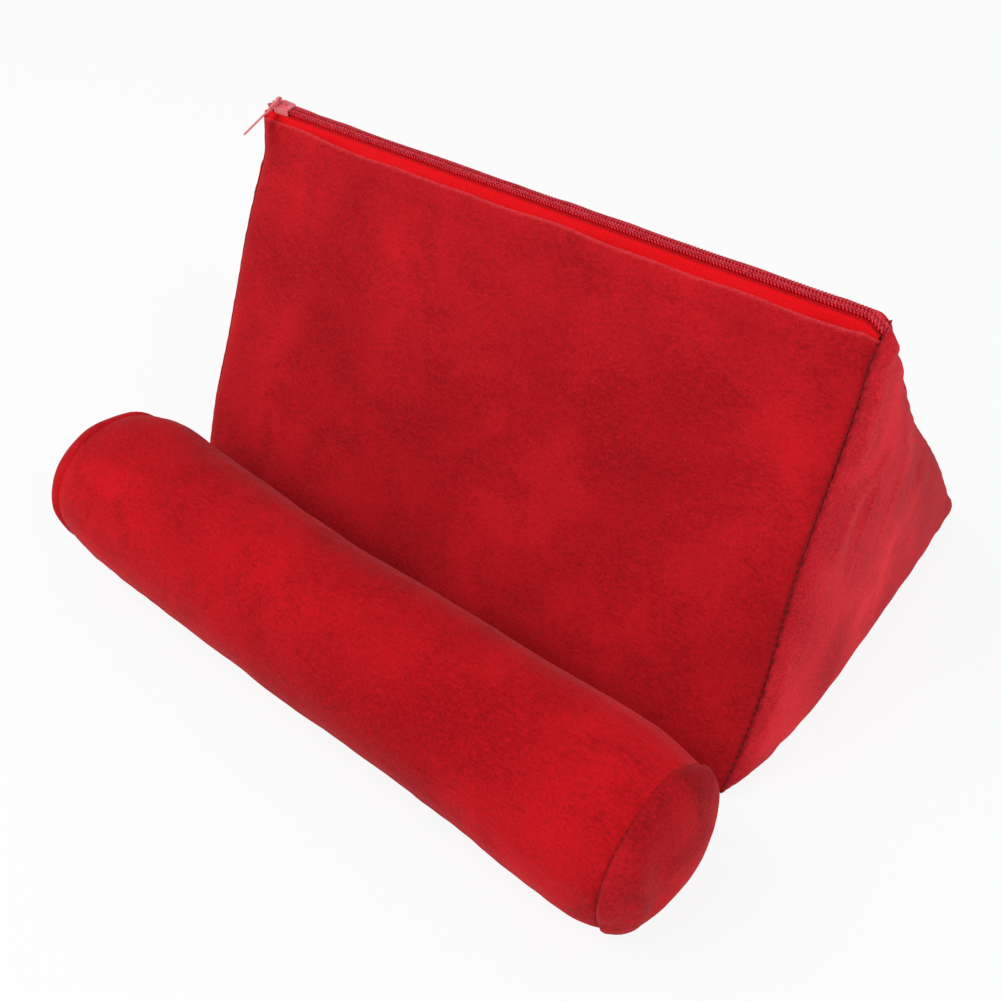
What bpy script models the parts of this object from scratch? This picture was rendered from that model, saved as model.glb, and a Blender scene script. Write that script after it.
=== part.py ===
"""Tablet cushion stand: a zipped foam wedge in a plush cover, with a plush roll sewn along its front foot.

Metres, +Z up. The origin is the centre of the wedge's underside, +X runs along the ridge towards the
end where the zip stops, and -Y is the side where the tablet and the roll are.
"""
import math

import bmesh
import bpy
from mathutils import Matrix, Vector

# Wedge: the straight faces of the cover, measured where they would meet
WEDGE_WIDTH = 0.270
WEDGE_DEPTH = 0.206
WEDGE_HEIGHT = 0.1676
APEX_SETBACK = 0.073
CLOTH = 0.0015
GAP = 0.0003
SIDE_CROWN = 0.0055
CROWN_RISE_LOW = 0.020
CROWN_RISE_EDGE = 0.045

# Zip: tape, coil and the flat that they lie on along the ridge
ZIP_TILT = math.radians(8.0)
TAPE = 0.0005
TAPE_SPLIT = 0.0016
TAPE_TUCK = 0.0045
TAPE_SHOWN = 0.0045
TAPE_SHOWN_HALF_LENGTH = 0.126
PANEL_TOP_DROP = 0.0005
COIL_WIDTH = 0.0045
COIL_HEIGHT = 0.0017
COIL_PITCH = 0.00127
COIL_BITE = 0.0008
COIL_SEAM_END = 0.0015

# Slider and pull
SLIDER_LENGTH = 0.0082
SLIDER_WIDTH = 0.0066
SLIDER_REAR_WIDTH = 0.0058
SLIDER_PLATE = 0.0008
SLIDER_CLEARANCE = 0.00025
SLIDER_SIDE_CLEARANCE = 0.00045
SLIDER_NOSE_INSET = 0.0005
POST_WIDTH = 0.0010
POST_LENGTH = 0.0018
BRIDGE_RADIUS = 0.00045
BRIDGE_LENGTH = 0.0052
BRIDGE_BEHIND_NOSE = 0.0002
BRIDGE_POST = 0.0008
BRIDGE_POST_WIDTH = 0.0012
BRIDGE_POST_RIM = 0.0001
PULL_LENGTH = 0.0220
PULL_WIDTH = 0.0044
PULL_THICKNESS = 0.0008
PULL_EYE_RADIUS = 0.00065
PULL_EYE_WALL = 0.0006
PULL_NECK_WIDTH = 0.0015
PULL_NECK_LENGTH = 0.0042
PULL_SHOULDER = 0.0034
PULL_CLEARANCE = 0.00035
PULL_TWIST = math.radians(50.0)
PULL_REST = math.radians(12.5)

# Roll
ROLL_LENGTH = 0.277
ROLL_RADIUS = 0.0315
ROLL_AHEAD = 0.042
ROLL_YAW = math.radians(-2.9)
ROLL_END_DOME = 0.0120
ROLL_SEAM_DIP = 0.0012
ROLL_SEAM_ROUND = 0.0050
STRIP_CLOTH = 0.0012
STRIP_WIDTH = 0.262

# Facets of the meshes
ROLL_SIDES = 36
DOME_RINGS = 6
SIDE_COLUMNS = 14
SIDE_ROWS = 12
ROW_CROWDING = 1.4
SHOWN_STEPS = 20

FRONT_FOOT = Vector((-WEDGE_DEPTH / 2, 0.0))
BACK_FOOT = Vector((WEDGE_DEPTH / 2, 0.0))
APEX = Vector((APEX_SETBACK - WEDGE_DEPTH / 2, WEDGE_HEIGHT))
ZIP_NORMAL = Vector((-math.sin(ZIP_TILT), math.cos(ZIP_TILT)))
ZIP_ACROSS = Vector((math.cos(ZIP_TILT), math.sin(ZIP_TILT)))
HALF_BETWEEN_SIDES = WEDGE_WIDTH / 2 - CLOTH - GAP


class Face:
    """A sloping face of the wedge's section, in (y, z): a point on it by its height along and inset."""

    def __init__(self, foot, inward_sign):
        self.foot = foot
        self.up = (APEX - foot).normalized()
        self.inward = Vector((self.up.y, -self.up.x)) * inward_sign
        self.corner_angle = math.acos(abs(self.up.x))

    def point(self, along, inset):
        return self.foot + self.up * along + self.inward * inset

    def depth(self, point):
        return (point - self.foot).dot(self.inward)

    def along(self, point):
        return (point - self.foot).dot(self.up)


FRONT = Face(FRONT_FOOT, 1.0)
BACK = Face(BACK_FOOT, -1.0)


def meet(point_a, direction_a, point_b, direction_b):
    """Where two lines of the section cross."""
    offset = point_b - point_a
    cross = direction_a.x * direction_b.y - direction_a.y * direction_b.x
    along = (offset.x * direction_b.y - offset.y * direction_b.x) / cross
    return point_a + direction_a * along


def zip_flat():
    """The middle and both edges of the flat under the tapes, across the ridge."""
    width = SLIDER_WIDTH + 2 * SLIDER_SIDE_CLEARANCE
    ridge = meet(FRONT.point(0, CLOTH), FRONT.up, BACK.point(0, CLOTH), BACK.up)
    spread = math.tan(FRONT.up.angle(ZIP_NORMAL)) + math.tan(BACK.up.angle(ZIP_NORMAL))
    level = ridge - ZIP_NORMAL * (width / spread)
    front_edge = meet(FRONT.point(0, CLOTH), FRONT.up, level, ZIP_ACROSS)
    back_edge = meet(BACK.point(0, CLOTH), BACK.up, level, ZIP_ACROSS)
    return (front_edge + back_edge) / 2, front_edge, back_edge


ZIP_MIDDLE, ZIP_FRONT_EDGE, ZIP_BACK_EDGE = zip_flat()

# Heights above the underside of the tapes, square to the zip
COIL_FLOOR = TAPE + GAP
COIL_TOP = COIL_FLOOR + COIL_HEIGHT
TOP_PLATE_FLOOR = COIL_TOP + SLIDER_CLEARANCE
SLIDER_TOP = TOP_PLATE_FLOOR + SLIDER_PLATE
SLIDER_FLOOR = -SLIDER_CLEARANCE - SLIDER_PLATE
FOAM_TOP = SLIDER_FLOOR - GAP
SLIDER_NOSE = -WEDGE_WIDTH / 2 + SLIDER_NOSE_INSET
SLIDER_MIDDLE = SLIDER_NOSE + SLIDER_LENGTH / 2
ROLL_FLAT_RADIUS = ROLL_RADIUS * math.cos(math.pi / ROLL_SIDES)


def srgb(red, green, blue):
    """A colour as seen on screen, 0 to 255, as linear values."""
    def linear(value):
        share = value / 255
        return share / 12.92 if share <= 0.04045 else ((share + 0.055) / 1.055) ** 2.4
    return (linear(red), linear(green), linear(blue), 1.0)


def material(name, color, roughness, metallic=0.0):
    finish = bpy.data.materials.new(name)
    finish.use_nodes = True
    shader = finish.node_tree.nodes["Principled BSDF"]
    shader.inputs["Base Color"].default_value = color
    shader.inputs["Roughness"].default_value = roughness
    shader.inputs["Metallic"].default_value = metallic
    finish.diffuse_color = color
    return finish


def clear_scene():
    for item in list(bpy.data.objects):
        bpy.data.objects.remove(item, do_unlink=True)


def new_collection(name):
    collection = bpy.data.collections.new(name)
    bpy.context.scene.collection.children.link(collection)
    return collection


def add_object(name, data, collection, finish=None):
    item = bpy.data.objects.new(name, data)
    collection.objects.link(item)
    if finish is not None:
        data.materials.append(finish)
    return item


def add_mesh(name, mesh_builder, collection, finish=None):
    data = bpy.data.meshes.new(name)
    mesh_builder.to_mesh(data)
    mesh_builder.free()
    return add_object(name, data, collection, finish)


def outline_curve(name, points, half_thickness):
    """A flat closed outline as a filled curve, thickened to both sides of its plane."""
    curve = bpy.data.curves.new(name, "CURVE")
    curve.dimensions = "2D"
    curve.fill_mode = "BOTH"
    curve.extrude = half_thickness
    spline = curve.splines.new("POLY")
    spline.points.add(len(points) - 1)
    for place, point in zip(spline.points, points):
        place.co = (point[0], point[1], 0.0, 1.0)
    spline.use_cyclic_u = True
    return curve


def outline_solid(name, points, half_thickness, frame, collection, finish=None):
    """The thickened outline as a welded mesh, placed by a matrix."""
    curve = outline_curve(name + "_outline", points, half_thickness)
    holder = add_object(name + "_outline", curve, collection)
    holder.matrix_world = frame
    bpy.context.view_layer.update()
    evaluated = holder.evaluated_get(bpy.context.evaluated_depsgraph_get())
    data = bpy.data.meshes.new_from_object(evaluated)
    data.name = name
    bpy.data.objects.remove(holder, do_unlink=True)
    bpy.data.curves.remove(curve)
    welded = bmesh.new()
    welded.from_mesh(data)
    bmesh.ops.remove_doubles(welded, verts=welded.verts, dist=0.000001)
    bmesh.ops.recalc_face_normals(welded, faces=welded.faces)
    welded.to_mesh(data)
    welded.free()
    item = add_object(name, data, collection, finish)
    item.matrix_world = frame
    return item


def section_frame(x_middle=0.0):
    """Local X to world Y and local Y to world Z, so that an outline in (y, z) is thickened along X."""
    columns = ((0, 1, 0), (0, 0, 1), (1, 0, 0))
    turn = Matrix(columns).transposed().to_4x4()
    return Matrix.Translation((x_middle, 0, 0)) @ turn


def face_frame(face):
    """Local X along the ridge, local Y up the face, local Z square to it."""
    up = Vector((0, face.up.x, face.up.y))
    along = Vector((1, 0, 0))
    turn = Matrix((along, up, along.cross(up))).transposed().to_4x4()
    return Matrix.Translation((0, face.foot.x, face.foot.y)) @ turn


def bevel(item, width, segments=2):
    rounding = item.modifiers.new("rounded_edges", "BEVEL")
    rounding.width = width
    rounding.segments = segments
    rounding.limit_method = "ANGLE"
    rounding.angle_limit = math.radians(40)


def boolean(item, cutter, operation):
    step = item.modifiers.new(cutter.name, "BOOLEAN")
    step.operation = operation
    step.solver = "EXACT"
    step.object = cutter


def as_cutter(item):
    item.hide_render = True
    item.display_type = "WIRE"
    return item


def box_mesh(low, high):
    """A closed box between two corners."""
    size = Vector(high) - Vector(low)
    middle = (Vector(high) + Vector(low)) / 2
    builder = bmesh.new()
    bmesh.ops.create_cube(builder, size=1.0)
    bmesh.ops.scale(builder, verts=builder.verts, vec=size)
    bmesh.ops.translate(builder, verts=builder.verts, vec=middle)
    return builder


def crown(point):
    """How far the end of the cushion swells out at a point of its section."""
    def rise(distance, over):
        return math.sin(math.pi / 2 * min(1.0, max(0.0, distance / over)))
    edges = rise(FRONT.depth(point), CROWN_RISE_EDGE) * rise(BACK.depth(point), CROWN_RISE_EDGE)
    return SIDE_CROWN * rise(point.y, CROWN_RISE_LOW) * edges


def section_grid(inset, floor, zip_level):
    """A grid over the section, in from the faces by inset, and from floor to a level above the tapes."""
    builder = bmesh.new()
    bmesh.ops.create_grid(builder, x_segments=SIDE_COLUMNS, y_segments=SIDE_ROWS, size=0.5)
    level = ZIP_MIDDLE + ZIP_NORMAL * zip_level
    across = Vector((1.0, 0.0))
    base = Vector((0.0, floor))
    corners = {}
    for name, face in (("front", FRONT), ("back", BACK)):
        line = face.point(0, inset)
        corners[name] = (meet(line, face.up, base, across), meet(line, face.up, level, ZIP_ACROSS))
    for vertex in builder.verts:
        share_up = (vertex.co.y + 0.5) ** ROW_CROWDING
        near = corners["front"][0].lerp(corners["front"][1], share_up)
        far = corners["back"][0].lerp(corners["back"][1], share_up)
        point = near.lerp(far, vertex.co.x + 0.5)
        vertex.co = (0.0, point.x, point.y)
    return builder


def thicken_section(builder, x_low, x_high, crown_low, crown_high):
    """Extrudes the grid along X; each end face swells by its own signed share of the crown."""
    first = list(builder.faces)
    extruded = bmesh.ops.extrude_face_region(builder, geom=first)["geom"]
    high_vertices = {part for part in extruded if isinstance(part, bmesh.types.BMVert)}
    for vertex in builder.verts:
        swell = crown(Vector((vertex.co.y, vertex.co.z)))
        if vertex in high_vertices:
            vertex.co.x = x_high + swell * crown_high
        else:
            vertex.co.x = x_low + swell * crown_low
    bmesh.ops.recalc_face_normals(builder, faces=builder.faces)


def make_wedge_foam(collection, finish):
    inset = CLOTH + GAP
    builder = section_grid(inset, inset, FOAM_TOP)
    thicken_section(builder, -HALF_BETWEEN_SIDES, HALF_BETWEEN_SIDES, -1.0, 1.0)
    return add_mesh("wedge_foam", builder, collection, finish)


def make_side_panel(name, side, zip_level, collection, finish):
    """One end of the cover; side is -1 for left and 1 for right."""
    builder = section_grid(0.0, 0.0, zip_level)
    inner = side * (WEDGE_WIDTH / 2 - CLOTH)
    outer = side * WEDGE_WIDTH / 2
    thicken_section(builder, min(inner, outer), max(inner, outer), side, side)
    return add_mesh(name, builder, collection, finish)


def make_sloping_panel(name, face, edge, collection, cutters, finish):
    """The front or back of the cover, with a thin hem over the tape and a bowed upper edge."""
    mitre = CLOTH / math.tan(face.corner_angle / 2)
    top = face.along(edge) - PANEL_TOP_DROP
    hem_floor = top + PANEL_TOP_DROP - TAPE_SHOWN - TAPE_TUCK - GAP
    hem_inset = CLOTH - TAPE - GAP
    places = (
        (GAP, 0.0), (top, 0.0), (top, hem_inset), (hem_floor, hem_inset), (hem_floor, CLOTH), (mitre + GAP, CLOTH),
    )
    outline = [face.point(along, inset) for along, inset in places]
    panel = outline_solid(name, outline, HALF_BETWEEN_SIDES, section_frame(), collection, finish)
    reach = TAPE_SHOWN_HALF_LENGTH
    bow = []
    for step in range(SHOWN_STEPS + 1):
        x = reach * (2 * step / SHOWN_STEPS - 1)
        bow.append((x, top - TAPE_SHOWN * (1 - (x / reach) ** 2)))
    bow += [(reach, top + TAPE_SHOWN), (-reach, top + TAPE_SHOWN)]
    shown = outline_solid(name + "_bow", bow, 2 * CLOTH, face_frame(face), cutters)
    boolean(panel, as_cutter(shown), "DIFFERENCE")
    return panel


def make_base_panel(collection, finish):
    front_mitre = CLOTH / math.tan(FRONT.corner_angle / 2)
    back_mitre = CLOTH / math.tan(BACK.corner_angle / 2)
    outline = (
        (FRONT_FOOT.x + GAP, 0.0), (BACK_FOOT.x - GAP, 0.0),
        (BACK_FOOT.x - back_mitre - GAP, CLOTH), (FRONT_FOOT.x + front_mitre + GAP, CLOTH),
    )
    return outline_solid("base_panel", outline, HALF_BETWEEN_SIDES, section_frame(), collection, finish)


def make_zip_tape(name, face, edge, toward_edge, collection, finish):
    """Half of the tape: flat under the coil, then bent down the face and tucked under the panel."""
    inner_edge = ZIP_MIDDLE + toward_edge * (TAPE_SPLIT / 2)
    low_along = face.along(edge) - TAPE_SHOWN - TAPE_TUCK
    bend_up = (ZIP_NORMAL - face.inward).normalized()
    bend = edge + bend_up * (TAPE / bend_up.dot(ZIP_NORMAL))
    outline = (
        inner_edge, edge, face.point(low_along, CLOTH),
        face.point(low_along, CLOTH - TAPE), bend, inner_edge + ZIP_NORMAL * TAPE,
    )
    return outline_solid(name, outline, HALF_BETWEEN_SIDES, section_frame(), collection, finish)


def make_zip_coil(name, side, zip_frame, collection, finish):
    """Half of the closed coil, seen from above: a straight outer edge and a toothed inner edge."""
    start = SLIDER_NOSE + POST_LENGTH + 2 * GAP
    end = HALF_BETWEEN_SIDES - COIL_SEAM_END
    half_gap = GAP / 2
    teeth = int((end - start) / COIL_PITCH)
    wave = []
    for tooth in range(2 * teeth + 1):
        x = start + tooth * COIL_PITCH / 2
        bite = COIL_BITE / 2 if tooth % 2 else -COIL_BITE / 2
        wave.append((x, bite + side * half_gap))
    last = wave[-1][0]
    outer = side * COIL_WIDTH / 2
    outline = wave + [(last, outer), (start, outer)]
    place = Matrix.Translation((0, 0, COIL_FLOOR + COIL_HEIGHT / 2))
    coil = outline_solid(name, outline, COIL_HEIGHT / 2, zip_frame @ place, collection, finish)
    return coil


def slider_body_outline():
    """The slider's plates seen from above: wide shoulders behind a rounded nose, narrower at the rear."""
    nose = -SLIDER_LENGTH / 2
    rear = SLIDER_LENGTH / 2
    shoulder = nose + SLIDER_LENGTH * 0.3
    half = SLIDER_WIDTH / 2
    rear_half = SLIDER_REAR_WIDTH / 2
    nose_half = half * 0.62
    return (
        (nose, -nose_half), (nose + SLIDER_LENGTH * 0.08, -half * 0.85), (shoulder, -half),
        (rear - SLIDER_LENGTH * 0.08, -rear_half), (rear, -rear_half * 0.85),
        (rear, rear_half * 0.85), (rear - SLIDER_LENGTH * 0.08, rear_half),
        (shoulder, half), (nose + SLIDER_LENGTH * 0.08, half * 0.85), (nose, nose_half),
    )


def make_slider(zip_frame, collection, cutters, finish):
    """Two plates held together by the post between the coils, with a bridge for the pull on top."""
    middle = Matrix.Translation((SLIDER_MIDDLE, 0, (SLIDER_TOP + SLIDER_FLOOR) / 2))
    half_height = (SLIDER_TOP - SLIDER_FLOOR) / 2
    slider = outline_solid("zip_slider", slider_body_outline(), half_height, zip_frame @ middle, collection, finish)
    bevel(slider, SLIDER_PLATE * 0.3)

    reach = SLIDER_LENGTH
    channel_half = COIL_WIDTH / 2 + SLIDER_CLEARANCE
    channel = add_mesh("slider_channel", box_mesh(
        (-reach, -channel_half, -SLIDER_CLEARANCE), (reach, channel_half, TOP_PLATE_FLOOR)), cutters)
    slot = add_mesh("slider_tape_slot", box_mesh(
        (-reach, -SLIDER_WIDTH, -SLIDER_CLEARANCE), (reach, SLIDER_WIDTH, TAPE + SLIDER_CLEARANCE)), cutters)
    for cutter in (channel, slot):
        cutter.matrix_world = zip_frame @ Matrix.Translation((SLIDER_MIDDLE, 0, 0))
        boolean(slider, as_cutter(cutter), "DIFFERENCE")

    post_low = SLIDER_FLOOR + SLIDER_PLATE / 2
    post_high = SLIDER_TOP - SLIDER_PLATE / 2
    post = add_mesh("slider_post", box_mesh(
        (SLIDER_NOSE + GAP, -POST_WIDTH / 2, post_low),
        (SLIDER_NOSE + POST_LENGTH, POST_WIDTH / 2, post_high)), cutters)
    post.matrix_world = zip_frame
    boolean(slider, as_cutter(post), "UNION")
    for piece in make_bridge(zip_frame, cutters):
        boolean(slider, as_cutter(piece), "UNION")
    return slider


def pivot_in_zip():
    """Where the pull's eye sits on the bridge's bar, in the zip's own frame, as (x, z)."""
    x = SLIDER_NOSE + BRIDGE_BEHIND_NOSE + BRIDGE_POST + PULL_CLEARANCE + PULL_THICKNESS / 2
    return x, SLIDER_TOP + PULL_CLEARANCE + PULL_EYE_RADIUS + PULL_EYE_WALL


def bar_along_x(name, radius, length, sides, collection):
    builder = bmesh.new()
    turn = Matrix.Rotation(math.pi / 2, 4, "Y")
    bmesh.ops.create_cone(
        builder, cap_ends=True, segments=sides, radius1=radius, radius2=radius, depth=length, matrix=turn)
    return add_mesh(name, builder, collection)


def make_bridge(zip_frame, cutters):
    """A round bar along the zip on two posts, which the pull's eye turns on."""
    pivot_z = pivot_in_zip()[1]
    front = SLIDER_NOSE + BRIDGE_BEHIND_NOSE
    half = BRIDGE_POST_WIDTH / 2
    low = SLIDER_TOP - SLIDER_PLATE / 2
    high = pivot_z + BRIDGE_RADIUS + BRIDGE_POST_RIM
    pieces = []
    for name, start in (("front", front), ("rear", front + BRIDGE_LENGTH - BRIDGE_POST)):
        post = add_mesh(
            "bridge_post_" + name, box_mesh((start, -half, low), (start + BRIDGE_POST, half, high)), cutters)
        post.matrix_world = zip_frame
        pieces.append(post)
    bar = bar_along_x("bridge_bar", BRIDGE_RADIUS, BRIDGE_LENGTH - BRIDGE_POST, 16, cutters)
    bar.matrix_world = zip_frame @ Matrix.Translation((front + BRIDGE_LENGTH / 2, 0, pivot_z))
    pieces.append(bar)
    return pieces


def pull_stations():
    """The pull from its round head to its round tip, as (distance from the eye, half width, twist)."""
    head = PULL_EYE_RADIUS + PULL_EYE_WALL
    neck = PULL_NECK_WIDTH / 2
    tip = PULL_WIDTH / 2
    stations = []
    for step in range(1, 13):
        turn = math.pi * step / 12
        if turn < math.pi / 2 or head * math.sin(turn) > neck:
            stations.append((-head * math.cos(turn), head * math.sin(turn), 0.0))
    stations.append((math.sqrt(head ** 2 - neck ** 2), neck, 0.0))
    stations.append((PULL_NECK_LENGTH, neck, 0.0))
    for step in range(1, 7):
        share = step / 6
        smooth = share * share * (3 - 2 * share)
        width = neck + (tip - neck) * smooth
        stations.append((PULL_NECK_LENGTH + PULL_SHOULDER * share, width, PULL_TWIST * smooth))
    for step in range(6):
        turn = math.pi / 2 * step / 6
        stations.append((PULL_LENGTH - tip + tip * math.sin(turn), tip * math.cos(turn), PULL_TWIST))
    return stations


def make_pull(zip_frame, collection, cutters, finish):
    """A flat tab, with a round eye at its head, twisted past the neck and resting on the slider's edge."""
    builder = bmesh.new()
    half = PULL_THICKNESS / 2
    rings = []
    for distance, width, twist in pull_stations():
        across = Vector((math.sin(twist), 0, math.cos(twist))) * width
        through = Vector((math.cos(twist), 0, -math.sin(twist))) * half
        middle = Vector((0, -distance, 0))
        corners = (across + through, across - through, -across - through, -across + through)
        rings.append([builder.verts.new(middle + corner) for corner in corners])
    for near, far in zip(rings, rings[1:]):
        for side in range(4):
            after = (side + 1) % 4
            builder.faces.new((near[side], near[after], far[after], far[side]))
    builder.faces.new(rings[0])
    builder.faces.new(rings[-1])
    bmesh.ops.recalc_face_normals(builder, faces=builder.faces)
    pull = add_mesh("zip_pull", builder, collection, finish)
    pivot_x, pivot_z = pivot_in_zip()
    rest = Matrix.Rotation(PULL_REST, 4, "X")
    pull.matrix_world = zip_frame @ Matrix.Translation((pivot_x, 0, pivot_z)) @ rest

    eye = bar_along_x("pull_eye", PULL_EYE_RADIUS, 4 * PULL_THICKNESS, 20, cutters)
    eye.matrix_world = pull.matrix_world
    boolean(pull, as_cutter(eye), "DIFFERENCE")
    return pull


def roll_frame():
    """The roll's axis as local Z, with a facet of the round laid on the ground."""
    place = Matrix.Translation((0, FRONT_FOOT.x - ROLL_AHEAD, ROLL_FLAT_RADIUS))
    turn = Matrix.Rotation(ROLL_YAW, 4, "Z") @ Matrix.Rotation(math.pi / 2, 4, "Y")
    return place @ turn @ Matrix.Rotation(math.pi / ROLL_SIDES, 4, "Z")


def turned(name, profile, closed, frame, collection, finish):
    """A profile of (radius, height) points turned about local Z."""
    builder = bmesh.new()
    vertices = [builder.verts.new((radius, 0.0, height)) for radius, height in profile]
    for first, second in zip(vertices, vertices[1:]):
        builder.edges.new((first, second))
    if closed:
        builder.edges.new((vertices[-1], vertices[0]))
    item = add_mesh(name, builder, collection, finish)
    screw = item.modifiers.new("turned", "SCREW")
    screw.angle = 2 * math.pi
    screw.steps = ROLL_SIDES
    screw.render_steps = ROLL_SIDES
    screw.use_merge_vertices = True
    screw.merge_threshold = 0.00001
    screw.use_smooth_shade = True
    item.matrix_world = frame
    return item


def shoulder(radius, seam, toward):
    """The round from full radius down to a seam, from the middle outwards."""
    points = []
    for step in range(4):
        turn = math.pi / 2 * step / 3
        drop = ROLL_SEAM_DIP * (1 - math.cos(turn))
        points.append((radius - drop, seam - toward * ROLL_SEAM_ROUND * (1 - math.sin(turn))))
    return points


def dome(radius, height, seam, toward):
    """The swell of a round end, from its rim to its pole."""
    points = []
    for ring in range(DOME_RINGS + 1):
        turn = math.pi / 2 * ring / DOME_RINGS
        points.append((max(0.0, radius * math.cos(turn)), seam + toward * height * math.sin(turn)))
    points[-1] = (0.0, points[-1][1])
    return points


def make_roll(collection, plush, filling):
    frame = roll_frame()
    seam = ROLL_LENGTH / 2
    tube_end = seam - GAP / 2
    disc_rim = seam + GAP / 2
    inner = ROLL_RADIUS - CLOTH
    rim = ROLL_RADIUS - ROLL_SEAM_DIP

    outside = list(reversed(shoulder(ROLL_RADIUS, tube_end, 1))) + shoulder(ROLL_RADIUS, -tube_end, -1)
    inside = list(reversed(shoulder(inner, -tube_end, -1))) + shoulder(inner, tube_end, 1)
    turned("roll_cover", outside + inside, True, frame, collection, plush)

    for name, toward in (("roll_left_end", -1), ("roll_right_end", 1)):
        skin = dome(rim, ROLL_END_DOME, toward * disc_rim, toward)
        lining = dome(rim - CLOTH, ROLL_END_DOME - CLOTH, toward * disc_rim, toward)
        profile = list(reversed(skin)) + lining
        if toward < 0:
            profile = list(reversed(profile))
        turned(name, profile, False, frame, collection, plush)

    core = inner - GAP
    core_rim = rim - CLOTH - GAP
    swell = ROLL_END_DOME - CLOTH - GAP
    upper = dome(core_rim, swell, disc_rim, 1)
    lower = dome(core_rim, swell, -disc_rim, -1)
    straight = [(core, seam - 1.2 * ROLL_SEAM_ROUND), (core, -seam + 1.2 * ROLL_SEAM_ROUND)]
    turned("roll_foam", list(reversed(upper)) + straight + lower, False, frame, collection, filling)


def make_joining_strip(collection, finish):
    """The flap under the groove, from the wedge's front foot to where it meets the roll."""
    top = GAP + STRIP_CLOTH
    reach = math.sqrt(ROLL_RADIUS ** 2 - (ROLL_FLAT_RADIUS - top) ** 2)
    half = STRIP_WIDTH / 2
    wedge_edge = FRONT_FOOT.x - GAP
    outline = [(half, wedge_edge), (-half, wedge_edge)]
    for x in (-half, half):
        axis = FRONT_FOOT.x - ROLL_AHEAD + x * math.tan(ROLL_YAW)
        outline.append((x, axis + reach + 2 * GAP))
    place = Matrix.Translation((0, 0, GAP + STRIP_CLOTH / 2))
    return outline_solid("joining_strip", outline, STRIP_CLOTH / 2, place, collection, finish)


def make_wedge(collection, cutters, plush, filling):
    make_wedge_foam(collection, filling)
    make_sloping_panel("front_panel", FRONT, ZIP_FRONT_EDGE, collection, cutters, plush)
    make_sloping_panel("back_panel", BACK, ZIP_BACK_EDGE, collection, cutters, plush)
    make_base_panel(collection, plush)
    make_side_panel("left_side_panel", -1, FOAM_TOP, collection, plush)
    make_side_panel("right_side_panel", 1, COIL_TOP, collection, plush)


def make_zip(collection, cutters, tape, coil, paint):
    place = Matrix.Translation((0, ZIP_MIDDLE.x, ZIP_MIDDLE.y))
    zip_frame = place @ Matrix.Rotation(ZIP_TILT, 4, "X")
    make_zip_tape("zip_tape_front", FRONT, ZIP_FRONT_EDGE, -ZIP_ACROSS, collection, tape)
    make_zip_tape("zip_tape_back", BACK, ZIP_BACK_EDGE, ZIP_ACROSS, collection, tape)
    make_zip_coil("zip_coil_front", -1, zip_frame, collection, coil)
    make_zip_coil("zip_coil_back", 1, zip_frame, collection, coil)
    make_slider(zip_frame, collection, cutters, paint)
    make_pull(zip_frame, collection, cutters, paint)


def main():
    clear_scene()
    stand = new_collection("tablet_cushion_stand")
    cutters = new_collection("cutters")
    plush = material("red_plush", srgb(190, 25, 35), 0.9)
    filling = material("foam", srgb(232, 226, 206), 0.95)
    tape = material("zip_tape_red", srgb(230, 25, 45), 0.75)
    coil = material("coil_crimson", srgb(165, 30, 50), 0.55)
    paint = material("red_paint", srgb(225, 95, 105), 0.35)
    make_wedge(stand, cutters, plush, filling)
    make_zip(stand, cutters, tape, coil, paint)
    make_roll(stand, plush, filling)
    make_joining_strip(stand, plush)


main()
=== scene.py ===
"""Tablet cushion stand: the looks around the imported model."""

import itertools
import math

import bpy
import numpy as np
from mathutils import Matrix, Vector


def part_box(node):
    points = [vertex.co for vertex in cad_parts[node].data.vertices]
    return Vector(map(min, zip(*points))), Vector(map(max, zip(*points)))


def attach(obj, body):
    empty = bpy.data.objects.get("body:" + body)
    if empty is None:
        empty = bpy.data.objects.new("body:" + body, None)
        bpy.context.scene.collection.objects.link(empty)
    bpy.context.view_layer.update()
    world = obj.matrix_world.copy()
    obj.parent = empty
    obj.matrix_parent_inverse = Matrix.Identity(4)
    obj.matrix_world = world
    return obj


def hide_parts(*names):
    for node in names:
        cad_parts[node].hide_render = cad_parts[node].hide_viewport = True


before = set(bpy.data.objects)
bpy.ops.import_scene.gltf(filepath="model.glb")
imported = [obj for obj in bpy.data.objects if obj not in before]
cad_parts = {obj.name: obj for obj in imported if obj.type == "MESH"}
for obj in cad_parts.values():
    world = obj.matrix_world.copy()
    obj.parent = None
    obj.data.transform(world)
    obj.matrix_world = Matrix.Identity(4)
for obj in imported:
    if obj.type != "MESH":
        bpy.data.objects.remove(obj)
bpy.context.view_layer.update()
MM = 0.001

# The wedge's section in (y, z), as the solids have it
FRONT_FOOT = np.array((-0.103, 0.0))
BACK_FOOT = np.array((0.103, 0.0))
APEX = np.array((-0.030, 0.1676))
HALF_WIDTH = 0.135
PANEL = 0.0015
SIDE_CROWN = 0.0055
CROWN_RISE_LOW = 0.020
CROWN_RISE_EDGE = 0.045

# The zip, measured square to its own flat
ZIP_TILT = math.radians(8.0)
ZIP_HALF_FLAT = 0.00375
PANEL_TOP_DROP = 0.0005
TAPE = 0.0005
TAPE_TUCK = 0.0045
TAPE_SHOWN = 0.0045
TAPE_HALF_LENGTH = 0.1328
HEM_SHOWN = 0.0025
HEM_LEFT_RISE = 0.0012
HEM_CLOSES = 0.1345
COIL_FLOOR = 0.0008
COIL_HEIGHT = 0.0017
COIL_PITCH = 0.00127
COIL_START = -0.1321
COIL_END = 0.1334
COIL_TURNS = int((COIL_END - COIL_START) / COIL_PITCH)
LEFT_TOP_LEVEL = -0.0016
RIGHT_TOP_LEVEL = 0.0022

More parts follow.
